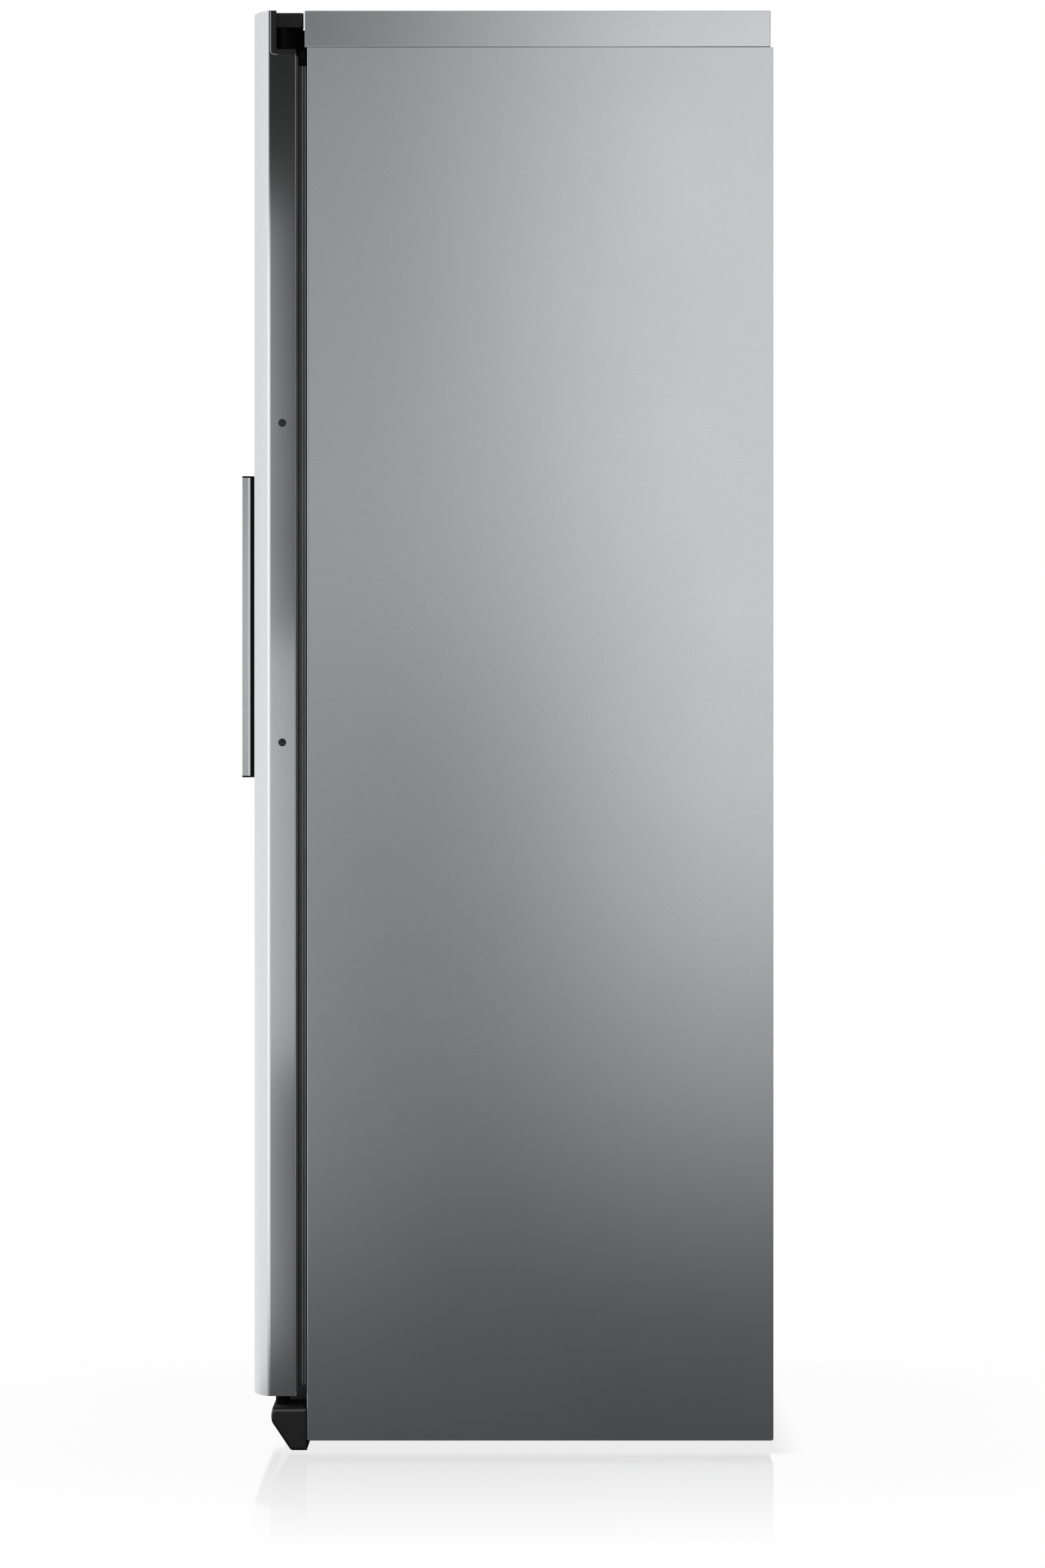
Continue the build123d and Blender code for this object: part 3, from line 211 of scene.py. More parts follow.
def satin_steel(name, colour, roughness, stretch=(1, 1, 1)):
    """Steel with a fine grain and slow changes of gloss."""
    material = new_finish(name, colour, roughness, metallic=1.0)
    grain = noise(material, 480, stretch=stretch, detail=2.0)
    cloud = noise(material, 5, detail=2.0)
    darker = [share * 0.965 for share in colour]
    lighter = [share * 1.035 for share in colour]
    vary_colour(material, grain, darker, lighter)
    vary_roughness(material, cloud, roughness - 0.01, roughness + 0.01)
    relief(material, grain, 0.00002, 0.25)
    return material


def bar_finish():
    """Steel of the handle bar, drawn lengthways, and painted lighter from the front edge of its rear
    bevels back: a painted highlight.
    """
    drawn = (0.55, 0.56, 0.575)
    painted_highlight = (0.81, 0.82, 0.835)
    material = satin_steel("bar_steel", drawn, 0.28, stretch=(1, 1, 0.02))
    tree = material.node_tree
    axes = tree.nodes.new("ShaderNodeSeparateXYZ")
    tree.links.new(placed(material, 1.0, (1, 1, 1)), axes.inputs[0])
    bevel_line = (bar_bevel_front - bar_highlight_band, bar_bevel_front)
    # Behind the bevels' front edge the colour turns to the lighter one: a painted highlight.
    on_highlight_band = spread(material, axes.outputs["Y"], 0.0, 1.0, bevel_line)
    colour = shader_of(material).inputs["Base Color"]
    mix = tree.nodes.new("ShaderNodeMix")
    mix.data_type = "RGBA"
    tree.links.new(on_highlight_band, mix.inputs[0])
    tree.links.new(colour.links[0].from_socket, mix.inputs[6])
    mix.inputs[7].default_value = (*painted_highlight, 1.0)
    tree.links.new(mix.outputs[2], colour)
    return material


def zinc_sheet():
    """Galvanised sheet with its spangle."""
    material = new_finish("zinc_sheet", (0.52, 0.53, 0.54), 0.45, metallic=1.0)
    spangle = cells(material, 150, output="Color")
    fine = noise(material, 300)
    vary_colour(material, spangle, (0.49, 0.50, 0.515), (0.56, 0.57, 0.58))
    vary_roughness(material, spangle, 0.40, 0.48)
    relief(material, fine, 0.00003, 0.3)
    return material


def moulded(name, colour, other, roughness, fineness=900, height=0.00006, strength=0.35):
    """Moulded plastic: a fine spark-eroded grain and slow changes of tone."""
    material = new_finish(name, colour, roughness)
    grain = noise(material, fineness, detail=2.0)
    cloud = noise(material, 14)
    vary_colour(material, cloud, colour, other)
    vary_roughness(material, grain, roughness - 0.05, roughness + 0.05)
    relief(material, grain, height, strength)
    return material


def clear(name, tint, alpha, roughness):
    """Clear sheet: mostly see-through, with a faint waviness."""
    material = new_finish(name, tint, roughness)
    wave = noise(material, 18, detail=1.0)
    shader_of(material).inputs["Alpha"].default_value = alpha
    shader_of(material).inputs["IOR"].default_value = 1.5
    vary_roughness(material, wave, roughness, roughness + 0.04)
    relief(material, wave, 0.0002, 0.1)
    return material


def foam_finish():
    """Pale foam with fine bubbles."""
    material = new_finish("foam", (0.82, 0.73, 0.48), 0.9)
    bubbles = cells(material, 600)
    cloud = noise(material, 40)
    vary_colour(material, cloud, (0.76, 0.66, 0.40), (0.86, 0.78, 0.54))
    relief(material, bubbles, 0.0006, 0.6)
    return material


def painted_black():
    """Stoved black paint with orange peel."""
    material = new_finish("painted_black", (0.02, 0.02, 0.022), 0.32)
    peel = noise(material, 260, detail=1.0)
    dust = noise(material, 30)
    vary_colour(material, dust, (0.016, 0.016, 0.018), (0.028, 0.028, 0.030))
    vary_roughness(material, dust, 0.28, 0.42)
    relief(material, peel, 0.0001, 0.25)
    return material


def hinge_shade_paint():
    """Dull near-black paint on the hinges, behind the handle bar and on the seal's corner block, darker
    than the other black parts: painted shade.
    """
    material = new_finish("hinge_shade_paint", (0.004, 0.004, 0.0045), 0.7)
    shader_of(material).inputs["Specular IOR Level"].default_value = 0.15
    speckle = noise(material, 500, detail=1.0)
    vary_colour(material, speckle, (0.003, 0.003, 0.0035), (0.006, 0.006, 0.0065))
    vary_roughness(material, speckle, 0.62, 0.78)
    relief(material, speckle, 0.00005, 0.3)
    return material


def bare_metal(name, bright, dull, low, high, fineness=45):
    """Drawn or rolled metal with dull patches."""
    material = new_finish(name, bright, low, metallic=1.0)
    patches = noise(material, fineness, detail=4.0)
    scratches = noise(material, 220, stretch=(1, 1, 6))
    vary_colour(material, patches, bright, dull)
    vary_roughness(material, patches, low, high)
    relief(material, scratches, 0.00003, 0.3)
    return material


def circuit_board():
    """Green lacquer over copper tracks."""
    material = new_finish("circuit_board", (0.03, 0.20, 0.08), 0.3)
    tracks = noise(material, 300, stretch=(1, 0.15, 1), detail=0.0)
    vary_colour(material, tracks, (0.02, 0.15, 0.06), (0.06, 0.30, 0.13))
    vary_roughness(material, tracks, 0.24, 0.38)
    relief(material, tracks, 0.0001, 0.4)
    return material


def lamp_finish():
    """Milky diffuser, lit from behind."""
    material = new_finish("lamp_lens", (0.9, 0.92, 0.94), 0.4)
    frost = noise(material, 700)
    shader_of(material).inputs["Emission Color"].default_value = (1.0, 0.97, 0.92, 1.0)
    shader_of(material).inputs["Emission Strength"].default_value = 1.6
    vary_colour(material, frost, (0.86, 0.88, 0.90), (0.94, 0.95, 0.96))
    vary_roughness(material, frost, 0.34, 0.5)
    relief(material, frost, 0.0001, 0.4)
    return material


finishes = {
    "stainless_steel": satin_steel("satin_steel", (0.713, 0.725, 0.745), 0.29),
    "zinc_steel": zinc_sheet(),
    "black_plastic": moulded("black_plastic", (0.032, 0.033, 0.035), (0.038, 0.039, 0.041), 0.40),
    "dark_rubber": moulded("dark_rubber", (0.020, 0.020, 0.021), (0.030, 0.030, 0.031), 0.62, 500),
    "white_plastic": moulded("white_plastic", (0.80, 0.81, 0.82), (0.83, 0.84, 0.85), 0.3,
                             fineness=160, height=0.0001, strength=0.12),
    "grey_plastic": moulded("grey_plastic", (0.42, 0.44, 0.46), (0.46, 0.48, 0.50), 0.35,
                            fineness=300, height=0.0001, strength=0.2),
    "clear_plastic": clear("clear_plastic", (0.78, 0.84, 0.88), 0.30, 0.08),
    "shelf_glass": clear("shelf_glass", (0.74, 0.88, 0.85), 0.26, 0.02),
    "foam": foam_finish(),
    "black_paint": painted_black(),
    "copper": bare_metal("copper", (0.80, 0.42, 0.26), (0.42, 0.22, 0.14), 0.22, 0.45),
    "coil_aluminium": bare_metal("coil_aluminium", (0.80, 0.81, 0.82), (0.62, 0.63, 0.65), 0.3, 0.5),
    "green_board": circuit_board(),
    "frosted_lens": lamp_finish(),
    "nylon": moulded("nylon", (0.10, 0.10, 0.105), (0.13, 0.13, 0.135), 0.5, 500),
}

# Finishes of single pieces, which differ from their slot's
bar_steel = bar_finish()
# Lighter grey for the outward faces of the seal's beads: a painted highlight.
seal_bead_highlight = moulded("seal_bead_highlight", (0.20, 0.20, 0.205), (0.24, 0.24, 0.245), 0.5, 500)
mark_grey = moulded("mark_grey", (0.06, 0.06, 0.065), (0.08, 0.08, 0.085), 0.4, 500)
# Near-black finish of the hinges, the handle insert and the seal's corner block: painted shade.
hinge_shade_black = hinge_shade_paint()
# Black plastic of the hinge pocket and blank, darker than the other black plastic because more light
# falls there: painted shade.
pocket_shade_black = moulded("pocket_shade_black", (0.008, 0.008, 0.009), (0.011, 0.011, 0.012), 0.5)
kick_black = moulded("kick_black", (0.018, 0.0185, 0.020), (0.022, 0.0225, 0.024), 0.33)
shader_of(kick_black).inputs["Specular IOR Level"].default_value = 1.0
special = {"handle_bar": bar_steel, "handle_insert": hinge_shade_black, "kick_plate": kick_black,
           "top_hinge": hinge_shade_black, "bottom_hinge": hinge_shade_black,
           "hinge_pocket": pocket_shade_black, "hinge_blank": pocket_shade_black}
for row in frame["record"]["subparts"]:
    slots = nodes[row["node"]].data.materials
    slots.clear()
    slots.append(special.get(row["node"], finishes[row["material_slot"]]))


# Fine pieces that the solids leave plain

def corners(node):
    """The low and the high corner of a node's box."""
    low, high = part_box(node)
    return Vector(low), Vector(high)


def open_piece(name):
    """Name the primitive just added, put its size into its mesh and open it for editing."""
    piece = bpy.context.object
    piece.name = name
    piece.data.name = name
    bpy.ops.object.transform_apply(location=True, rotation=True, scale=True)
    bpy.ops.object.mode_set(mode="EDIT")
    return piece


def choose(piece, kind, test):
    """Select only the corners, edges or faces that pass the test."""
    bpy.ops.mesh.select_mode(type=kind)
    bpy.ops.mesh.select_all(action="DESELECT")
    mesh = bmesh.from_edit_mesh(piece.data)
    groups = {"VERT": mesh.verts, "EDGE": mesh.edges, "FACE": mesh.faces}
    for part in groups[kind]:
        if test(part):
            part.select_set(True)
    mesh.select_flush_mode()
    bmesh.update_edit_mesh(piece.data)


def close_piece(piece, finish, body, smooth=35):
    """Leave editing and give the piece its finish and the body that it moves with."""
    bpy.ops.mesh.select_all(action="SELECT")
    bpy.ops.mesh.normals_make_consistent(inside=False)
    bpy.ops.object.mode_set(mode="OBJECT")
    bpy.ops.object.shade_smooth_by_angle(angle=math.radians(smooth))
    piece.data.materials.append(finish)
    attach(piece, body)


def add_block(name, low, high):
    """A block between two corners, open for editing."""
    bpy.ops.object.select_all(action="DESELECT")
    bpy.ops.mesh.primitive_cube_add(size=1, location=(low + high) / 2)
    bpy.context.object.scale = high - low
    return open_piece(name)


def joined(pieces):
    """Join the pieces into the first of them."""
    bpy.ops.object.select_all(action="DESELECT")
    for piece in pieces:
        piece.select_set(True)
    bpy.context.view_layer.objects.active = pieces[0]
    if len(pieces) > 1:
        bpy.ops.object.join()
    return pieces[0]


def copies(piece, places):
    """Copy a finished mesh to each place and turn, and join the copies into it."""
    twins = []
    for place, turn in places:
        bpy.ops.object.select_all(action="DESELECT")
        piece.select_set(True)
        bpy.context.view_layer.objects.active = piece
        bpy.ops.object.duplicate(linked=False)
        twin = bpy.context.object
        twin.rotation_euler = turn
        twin.location = place
        bpy.ops.object.transform_apply(location=True, rotation=True, scale=True)
        twins.append(twin)
    bpy.data.objects.remove(piece)
    return joined(twins)


def swept_seal():
    """Pull a rounded outline through the seal's section, step by step, and close it on itself."""
    low, high = corners("door_gasket")
    middle = (low + high) / 2
    half_wide = (high.x - low.x) / 2
    half_tall = (high.z - low.z) / 2
    depth = high.y - low.y
    wide = 22 * mm
    corner_radius = 1.5 * mm
    # The skirt under the seal, a dark sheet laid over the door skin's rear flange where shade falls:
    # painted shade. Step by step: drawn in from the sides, from the ends, share of the depth
    shade_skirt = ((-18.2, -5.2, -0.165), (-18.2, -5.2, 0.0), (-17.6, -4.8, 0.035), (-1.0, -0.6, 0.045))
    # The flank with its grooves and two beads: drawn in all round, share of the depth
    groove = ((1.5, 0.08), (1.5, 0.20), (3.2, 0.26), (3.2, 0.36))
    first_bead = ((0.8, 0.41), (0.3, 0.47), (0.8, 0.53), (4.6, 0.57), (4.6, 0.65))
    second_bead = ((1.2, 0.70), (0.7, 0.76), (1.2, 0.82), (5.0, 0.86), (5.0, 0.95), (5.4, 1.0))
    bead_bands = ((0.40, 0.54), (0.69, 0.83))
    side = (*groove, *first_bead, *second_bead)
    section = [(across * mm, along * mm, share) for across, along, share in shade_skirt]
    section += [(draw * mm, draw * mm, share) for draw, share in side]
    section += [(wide - draw * mm, wide - draw * mm, share) for draw, share in reversed(side)]
    section.append((wide, wide, 0.0))
    first = section[0]
    bpy.ops.object.select_all(action="DESELECT")
    place = (middle.x, low.y + first[2] * depth, middle.z)
    bpy.ops.mesh.primitive_plane_add(size=1, location=place, rotation=(math.pi / 2, 0, 0))
    bpy.context.object.scale = (2 * (half_wide - first[0]), 2 * (half_tall - first[1]), 1)
    piece = open_piece("door_seal")
    bpy.ops.mesh.select_all(action="SELECT")
    bpy.ops.mesh.bevel(affect="VERTICES", offset=corner_radius, segments=2)
    bpy.ops.mesh.delete(type="ONLY_FACE")
    bpy.ops.mesh.select_all(action="SELECT")
    last = first
    for step in section[1:]:
        rise = (step[2] - last[2]) * depth
        bpy.ops.mesh.extrude_edges_move(TRANSFORM_OT_translate={"value": (0, rise, 0)})
        wide_ratio = (half_wide - step[0]) / (half_wide - last[0])
        tall_ratio = (half_tall - step[1]) / (half_tall - last[1])
        bpy.ops.transform.resize(value=(wide_ratio, 1, tall_ratio), center_override=tuple(middle))
        last = step
    bpy.ops.mesh.select_mode(type="EDGE")
    bpy.ops.mesh.select_all(action="DESELECT")
    bpy.ops.mesh.select_non_manifold()
    bpy.ops.mesh.bridge_edge_loops()
    close_piece(piece, finishes["dark_rubber"], "door", 50)
    # The outward faces of both beads take the lighter grey: a painted highlight.
    piece.data.materials.append(seal_bead_highlight)
    for face in piece.data.polygons:
        share = (face.center.y - low.y) / depth
        outward = face.normal.x * face.center.x
        on_bead = any(start < share < end for start, end in bead_bands)
        if on_bead and outward > 0.2 * half_wide:
            face.material_index = 1
    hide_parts("door_gasket")
    return piece


def seal_corner():
    """The moulded corner block that fills the gap between the seal's upper end and the hinge arm."""
    low, high = corners("door_gasket")
    first = Vector((high.x - 22 * mm, low.y + 0.4 * mm, high.z - 4 * mm))
    last = Vector((high.x + 10 * mm, high.y - 1.2 * mm, high.z + 13 * mm))
    piece = add_block("seal_corner", first, last)
    outer = last.x - 0.1 * mm
    edge_radius = 1.5 * mm
    choose(piece, "EDGE", lambda edge: all(corner.co.x > outer for corner in edge.verts))
    bpy.ops.mesh.bevel(offset=edge_radius, segments=3, affect="EDGES")
    # The block's near-black finish is painted shade.
    close_piece(piece, hinge_shade_black, "door")


def blanking_plugs():
    """Plugs with a bevelled rim and a dished face."""
    low, high = corners("hole_plugs")
    radius = (high.y - low.y) / 2
    length = high.x - low.x
    rim_bevel = 0.7 * mm
    rim_rise = 0.25 * mm
    rim_flat = 0.5 * mm
    dish_slope = 1.2 * mm
    dish_depth = 0.6 * mm
    bpy.ops.object.select_all(action="DESELECT")
    bpy.ops.mesh.primitive_cylinder_add(vertices=40, radius=radius, depth=length,
                                        rotation=(0, math.pi / 2, 0))
    piece = open_piece("blanking_plug")
    choose(piece, "FACE", lambda face: face.normal.x > 0.9)
    bpy.ops.mesh.inset(thickness=rim_bevel)
    bpy.ops.transform.translate(value=(rim_rise, 0, 0))
    bpy.ops.mesh.inset(thickness=rim_flat)
    bpy.ops.mesh.inset(thickness=dish_slope)
    bpy.ops.transform.translate(value=(-dish_depth, 0, 0))
    bpy.ops.object.mode_set(mode="OBJECT")
    middle = (low + high) / 2
    places = [((middle.x, middle.y, level), (0, 0, 0)) for level in plug_levels]
    plugs = copies(piece, places)
    plugs.name = "blanking_plugs"
    bpy.ops.object.mode_set(mode="EDIT")
    close_piece(plugs, finishes["black_plastic"], "door")
    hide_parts("hole_plugs")


def cross_screws():
    """Pan-head screws with a cross recess, one modelled and copied to every place."""
    crown = 1.6 * mm
    recess_size = (5.2 * mm, 1.1 * mm, 2.6 * mm)
    rim = 0.9 * screw_head_height
    bpy.ops.object.select_all(action="DESELECT")
    bpy.ops.mesh.primitive_cylinder_add(vertices=32, radius=screw_head, depth=screw_head_height,
                                        location=(0, 0, screw_head_height / 2))
    piece = open_piece("cross_screw")
    choose(piece, "EDGE", lambda edge: all(corner.co.z > rim for corner in edge.verts))
    bpy.ops.mesh.bevel(offset=crown, segments=4, affect="EDGES")
    choose(piece, "FACE", lambda face: face.normal.z < -0.9)
    bpy.ops.mesh.inset(thickness=screw_head - screw_radius)
    bpy.ops.mesh.extrude_region_move(TRANSFORM_OT_translate={"value": (0, 0, -screw_length)})
    bpy.ops.object.mode_set(mode="OBJECT")
    for turn in (0, math.pi / 2):
        bpy.ops.object.select_all(action="DESELECT")
        bpy.ops.mesh.primitive_cube_add(size=1, location=(0, 0, screw_head_height),
                                        rotation=(0, 0, turn))
        cutter = bpy.context.object
        cutter.scale = recess_size
        bpy.ops.object.transform_apply(location=True, rotation=True, scale=True)
        recess = piece.modifiers.new("recess", "BOOLEAN")
        recess.operation = "DIFFERENCE"
        recess.object = cutter
        bpy.ops.object.select_all(action="DESELECT")
        piece.select_set(True)
        bpy.context.view_layer.objects.active = piece
        bpy.ops.object.modifier_apply(modifier=recess.name)
        bpy.data.objects.remove(cutter)
    places = [(place, (-math.pi / 2, 0, 0)) for place in cover_screw_places]
    places += [(place, (math.pi / 2, 0, 0)) for place in leg_screw_places]
    places += [(place, (0, 0, 0)) for place in hinge_screw_places]
    screws = copies(piece, places)
    screws.name = "cross_screws"
    bpy.ops.object.mode_set(mode="EDIT")
    close_piece(screws, finishes["zinc_steel"], "cabinet")
    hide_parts("cabinet_screws")


def pressed_back():
    """The back sheet with four shallow pressed fields that stiffen it."""
    low, high = corners("back_panel")
    piece = add_block("pressed_back", low, high)
    fields = 4
    border = 28 * mm
    slope = 4 * mm
    depth = 0.6 * mm
    for number in range(1, fields):
        bpy.ops.mesh.select_all(action="SELECT")
        level = low.z + (high.z - low.z) * number / fields
        bpy.ops.mesh.bisect(plane_co=(0, high.y, level), plane_no=(0, 0, 1))
    choose(piece, "FACE", lambda face: face.normal.y > 0.9)
    bpy.ops.mesh.inset(thickness=border, use_individual=True)
    bpy.ops.mesh.inset(thickness=slope, use_individual=True)
    bpy.ops.transform.translate(value=(0, -depth, 0))
    close_piece(piece, finishes["zinc_steel"], "cabinet", 5)
    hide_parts("back_panel")


def pocket_edge():
    """The rolled edge of the door skin round the hinge pocket: down the front and round the corner."""
    high = corners("door_skin")[1]
    bead = 0.7 * mm
    tail = 12 * mm
    tail_taper = 0.3
    place_x = high.x - 0.5 * mm
    corner_z = pocket_low + pocket_radius
    bpy.ops.object.select_all(action="DESELECT")
    bpy.ops.mesh.primitive_circle_add(vertices=12, radius=bead, fill_type="NGON",
                                      location=(place_x, pocket_front, high.z - bead))
    piece = open_piece("pocket_edge")
    bpy.ops.mesh.select_all(action="SELECT")
    fall = corner_z - high.z + bead
    bpy.ops.mesh.extrude_region_move(TRANSFORM_OT_translate={"value": (0, 0, fall)})
    bpy.ops.mesh.spin(steps=8, angle=-math.pi / 2, axis=(1, 0, 0),
                      center=(place_x, pocket_front + pocket_radius, corner_z))
    bpy.ops.mesh.extrude_region_move(TRANSFORM_OT_translate={"value": (0, tail, 0)})
    bpy.ops.transform.resize(value=(tail_taper, 1, tail_taper),
                             center_override=(place_x, pocket_front, pocket_low))
    close_piece(piece, finishes["stainless_steel"], "door", 60)


def rolled_hems():
    """The rolled lower edge of the top cover, along both sides."""
    low, high = corners("top_cover")
    radius = 0.8 * mm
    sunk = 0.4 * mm
    end_bevel = 0.3 * mm
    length = high.y - low.y - 2 * radius
    hems = []
    for side in (low.x, high.x):
        bpy.ops.object.select_all(action="DESELECT")
        place = (side * (1 - sunk / abs(side)), low.y + radius, low.z + 1.2 * radius)
        bpy.ops.mesh.primitive_circle_add(vertices=16, radius=radius, fill_type="NGON", location=place,
                                          rotation=(math.pi / 2, 0, 0))
        piece = open_piece("cover_hem")
        bpy.ops.mesh.select_all(action="SELECT")
        bpy.ops.mesh.extrude_region_move(TRANSFORM_OT_translate={"value": (0, length, 0)})
        choose(piece, "EDGE", lambda edge: abs(edge.verts[0].co.y - edge.verts[1].co.y) < 1e-6)
        bpy.ops.mesh.bevel(offset=end_bevel, segments=2, affect="EDGES")
        bpy.ops.object.mode_set(mode="OBJECT")
        hems.append(piece)
    both = joined(hems)
    both.name = "cover_hems"
    bpy.ops.object.mode_set(mode="EDIT")
    close_piece(both, finishes["stainless_steel"], "cabinet", 60)
    return both


def power_ring(middle):
    """A ring that is open at the top."""
    ring_radius = 3.0 * mm
    half_stroke = 0.35 * mm
    half_gap = 1.3 * mm
    bpy.ops.object.select_all(action="DESELECT")
    bpy.ops.mesh.primitive_torus_add(major_radius=ring_radius, minor_radius=half_stroke,
                                     major_segments=40, minor_segments=8,
                                     location=middle, rotation=(math.pi / 2, 0, 0))
    ring = open_piece("power_ring")

    def in_gap(corner):
        return corner.co.z > middle.z and abs(corner.co.x - middle.x) < half_gap

    choose(ring, "VERT", in_gap)
    bpy.ops.mesh.delete(type="VERT")
    bpy.ops.mesh.select_all(action="SELECT")
    bpy.ops.mesh.fill_holes(sides=0)
    bpy.ops.object.mode_set(mode="OBJECT")
    return ring


def button_marks():
    """Raised marks: a broken ring with a bar, a minus and a plus."""
    rise = 0.2 * mm
    half_length = 2.2 * mm
    half_stroke = 0.35 * mm
    edge_bevel = 0.12 * mm
    ring_bar_lift = Vector((0, 0, 2.0 * mm))
    bar = Vector((half_length, rise, half_stroke))
    upright = Vector((half_stroke, rise, half_length))
    marks = {"power_button": [upright], "colder_button": [bar], "warmer_button": [bar, upright]}
    for node, strokes in marks.items():
        low, high = corners(node)
        middle = Vector(((low.x + high.x) / 2, low.y, (low.z + high.z) / 2))
        with_ring = node == "power_button"
        centre = middle + ring_bar_lift if with_ring else middle
        made = []
        for stroke in strokes:
            piece = add_block(f"{node}_mark", centre - stroke, centre + stroke)
            bpy.ops.mesh.select_all(action="SELECT")
            bpy.ops.mesh.bevel(offset=edge_bevel, segments=2, affect="EDGES")
            bpy.ops.object.mode_set(mode="OBJECT")
            made.append(piece)
        if with_ring:
            made.append(power_ring(middle))
        mark = joined(made)
        mark.name = f"{node}_mark"
        bpy.ops.object.mode_set(mode="EDIT")
        close_piece(mark, mark_grey, node)


def soften(node, width):
    """Break the sharp edges of a node a little, so that they catch the light."""
    weld = nodes[node].modifiers.new("weld", "WELD")
    weld.merge_threshold = 0.01 * mm
    edge = nodes[node].modifiers.new("edge", "BEVEL")
    edge.width = width
    edge.segments = 2
    edge.limit_method = "ANGLE"
    edge.angle_limit = math.radians(40)


door_seal = swept_seal()
seal_corner()
blanking_plugs()
cross_screws()
pressed_back()
pocket_edge()
cover_hems = rolled_hems()
button_marks()
for node in ("hinge_pocket", "hinge_blank"):
    soften(node, 0.4 * mm)
soften("top_cover", 0.8 * mm)


# The studio: a white room, a pale floor that mirrors faintly close to the refrigerator, and soft boxes

def span(tree, value, ends, results):
    """A value moved from one range to another and held at its ends."""
    moved = tree.nodes.new("ShaderNodeMapRange")
    for socket, number in zip(("From Min", "From Max", "To Min", "To Max"), (*ends, *results)):
        moved.inputs[socket].default_value = number
    tree.links.new(value, moved.inputs["Value"])
    return moved.outputs["Result"]


def combine(tree, operation, *values):
    """Join values, given as sockets or numbers, with one sum."""
    node = tree.nodes.new("ShaderNodeMath")
    node.operation = operation
    for socket, value in zip(node.inputs, values):
        if isinstance(value, (int, float)):
            socket.default_value = value
        else:
            tree.links.new(value, socket)
    return node.outputs["Value"]


def white_world():
    """White all round, dark behind the camera and dim beside it: there the boxes light the steel."""
    world = bpy.data.worlds.new("studio")
    bpy.context.scene.world = world
    world.use_nodes = True
    tree = world.node_tree
    ground = tree.nodes["Background"]
    ground.inputs["Color"].default_value = (1, 1, 1, 1)
    place = tree.nodes.new("ShaderNodeTexCoord")
    axes = tree.nodes.new("ShaderNodeSeparateXYZ")
    path = tree.nodes.new("ShaderNodeLightPath")
    tree.links.new(place.outputs["Generated"], axes.inputs[0])
    aside, along = axes.outputs["X"], axes.outputs["Y"]
    behind_camera = span(tree, aside, room_fade, (1.0, 0.0))
    backward = combine(tree, "MULTIPLY_ADD", combine(tree, "MAXIMUM", along, 0.0), room_turn, aside)
    beside_camera = span(tree, backward, room_fade, (1.0, room_beside))
    far_side = span(tree, aside, room_far_fade, (room_far, 1.0))
    camera_side = combine(tree, "MINIMUM", behind_camera, beside_camera)
    light = combine(tree, "MINIMUM", camera_side, far_side)
    seen = combine(tree, "MAXIMUM", light, path.outputs["Is Camera Ray"])
    tree.links.new(seen, ground.inputs["Strength"])


def footprint_distance(tree, place):
    """How far a place on the floor lies from the cabinet's footprint."""
    low, high = corners("side_panel_right")
    middle = (0, (low.y + high.y) / 2, 0)
    reach = (high.x, (high.y - low.y) / 2, high.z)
    distance = place
    for operation, value in (("SUBTRACT", middle), ("ABSOLUTE", None), ("SUBTRACT", reach),
                             ("MAXIMUM", (0, 0, 0)), ("LENGTH", None)):
        step = tree.nodes.new("ShaderNodeVectorMath")
        step.operation = operation
        tree.links.new(distance, step.inputs[0])
        if value is not None:
            step.inputs[1].default_value = value
        distance = step.outputs["Value" if operation == "LENGTH" else "Vector"]
    return distance


def floor_light(tree, place):
    """What the floor throws on the steel: dim in a wedge beside each side panel, bright elsewhere."""
    axes = tree.nodes.new("ShaderNodeSeparateXYZ")
    tree.links.new(place, axes.inputs[0])
    aside, along = axes.outputs["X"], axes.outputs["Y"]
    beside_right = span(tree, aside, floor_right_fade, (1.0, floor_right))
    beside_left = span(tree, aside, floor_left_fade, (1.0, floor_left))
    before_door = span(tree, along, floor_door_fade, (1.0, 0.0))
    left = combine(tree, "MAXIMUM", beside_left, before_door)
    beside = combine(tree, "MINIMUM", beside_right, left)
    far_along = combine(tree, "ABSOLUTE", along)
    far_aside = combine(tree, "ABSOLUTE", aside)
    past_wedge = combine(tree, "SUBTRACT", far_along, far_aside)
    outside = span(tree, past_wedge, floor_outside_fade, (floor_right, 1.0))
    return combine(tree, "MAXIMUM", beside, outside)


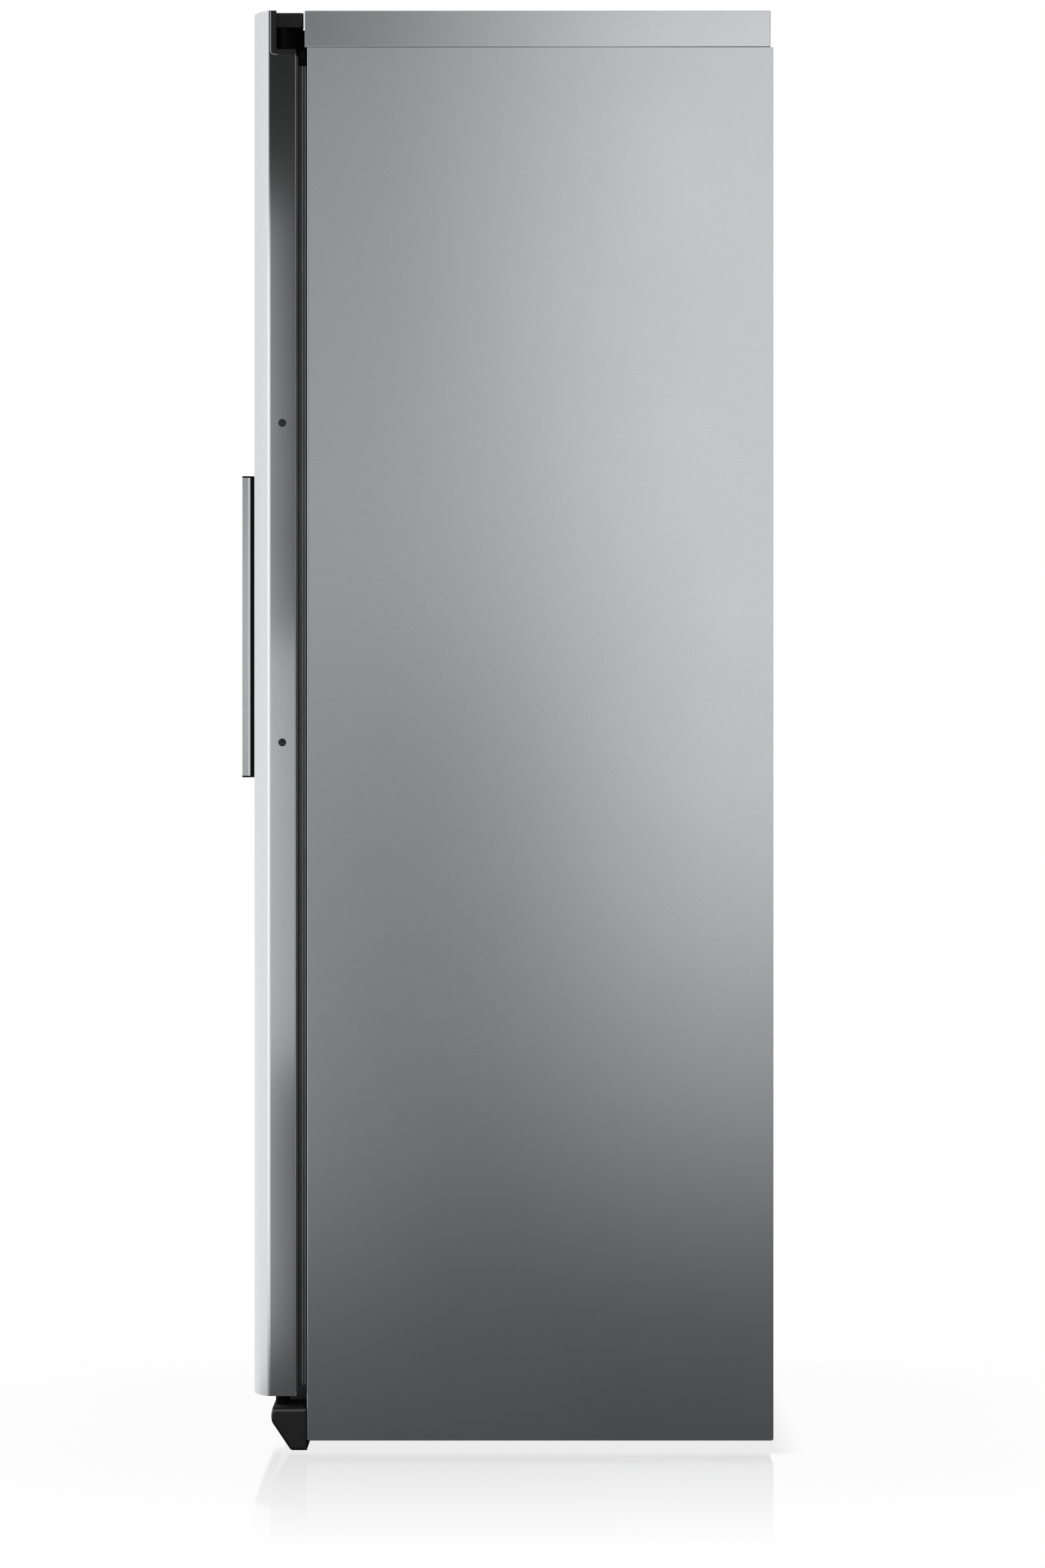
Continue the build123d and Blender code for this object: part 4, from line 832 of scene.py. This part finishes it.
def pale_floor():
    """White to the camera, darker in a painted contact shadow at the cabinet's footprint, with a mirror
    share that fades away from the footprint.
    """
    bpy.ops.object.select_all(action="DESELECT")
    bpy.ops.mesh.primitive_plane_add(size=60, location=(0, 0, 0))
    floor = bpy.context.object
    floor.name = "studio_floor"
    material = bpy.data.materials.new("studio_floor")
    material.use_nodes = True
    tree = material.node_tree
    tree.nodes.clear()
    output = tree.nodes.new("ShaderNodeOutputMaterial")
    white = tree.nodes.new("ShaderNodeEmission")
    glow = tree.nodes.new("ShaderNodeEmission")
    mirror = tree.nodes.new("ShaderNodeBsdfGlossy")
    mirror.inputs["Color"].default_value = (1, 1, 1, 1)
    mirror.inputs["Roughness"].default_value = mirror_roughness
    path = tree.nodes.new("ShaderNodeLightPath")
    place = tree.nodes.new("ShaderNodeTexCoord").outputs["Object"]
    distance = footprint_distance(tree, place)
    contact = (0.0, contact_shadow_reach)
    near = span(tree, distance, (0.0, mirror_reach), (mirror_share, 0.0))
    share = combine(tree, "MULTIPLY", near, span(tree, distance, contact, (0.0, 1.0)))
    # The white is darker right at the footprint: a painted contact shadow.
    tree.links.new(span(tree, distance, contact, (contact_shadow_tone, 1.0)), white.inputs["Strength"])
    tree.links.new(floor_light(tree, place), glow.inputs["Strength"])
    seen = tree.nodes.new("ShaderNodeMixShader")
    whole = tree.nodes.new("ShaderNodeMixShader")
    tree.links.new(share, seen.inputs[0])
    tree.links.new(white.outputs[0], seen.inputs[1])
    tree.links.new(mirror.outputs[0], seen.inputs[2])
    tree.links.new(path.outputs["Is Camera Ray"], whole.inputs[0])
    tree.links.new(glow.outputs[0], whole.inputs[1])
    tree.links.new(seen.outputs[0], whole.inputs[2])
    tree.links.new(whole.outputs[0], output.inputs["Surface"])
    floor.data.materials.append(material)
    return floor


def soft_box(name, place, wide, tall, radiance):
    """A rectangular light facing the right side of the cabinet, unseen by the camera."""
    light = bpy.data.lights.new(name, "AREA")
    light.shape = "RECTANGLE"
    light.size = tall
    light.size_y = wide
    light.energy = radiance * math.pi * wide * tall
    lamp = bpy.data.objects.new(name, light)
    bpy.context.scene.collection.objects.link(lamp)
    lamp.location = place
    lamp.rotation_euler = (0, math.pi / 2, 0)
    lamp.visible_camera = False
    return lamp


def lit_by(lamps, pieces, link_state):
    """Tie these lamps to these pieces, or keep them off."""
    group = bpy.data.collections.new(lamps[0].name + "_receivers")
    for piece in pieces:
        group.objects.link(piece)
    for row in group.collection_objects:
        row.light_linking.link_state = link_state
    for lamp in lamps:
        lamp.light_linking.receiver_collection = group


def soft_boxes(name, away, boxes):
    """A row of soft boxes, each a little behind the one before, so that none lies in another's plane."""
    step = 10 * mm
    lamps = []
    for number, (across, height, wide, tall, radiance) in enumerate(boxes):
        place = (away + step * number, across, height)
        lamps.append(soft_box(f"{name}_{number + 1}", place, wide, tall, radiance))
    return lamps


white_world()
floor = pale_floor()
door = (nodes["door_skin"],)
bar = (nodes["handle_bar"],)
cover = (nodes["top_cover"], cover_hems)
lit_by(soft_boxes("panel_box", panel_boxes_x, panel_boxes), (*door, *bar, *cover, floor), "EXCLUDE")
lit_by(soft_boxes("cover_box", panel_boxes_x, cover_boxes), cover, "INCLUDE")
lit_by(soft_boxes("door_box", door_boxes_x, door_boxes), door, "INCLUDE")
lit_by(soft_boxes("bar_box", bar_boxes_x, bar_boxes), bar, "INCLUDE")
lit_by(soft_boxes("seal_box", seal_boxes_x, seal_boxes), (door_seal,), "INCLUDE")

camera_data = bpy.data.cameras.new("camera")
camera_data.lens = camera_lens
camera_data.sensor_width = camera_film
camera_data.clip_end = 100
camera = bpy.data.objects.new("camera", camera_data)
bpy.context.scene.collection.objects.link(camera)
camera.location = camera_place
camera.rotation_euler = (math.pi / 2, 0, math.pi / 2)
bpy.context.scene.camera = camera
bpy.context.scene.view_settings.view_transform = "Standard"
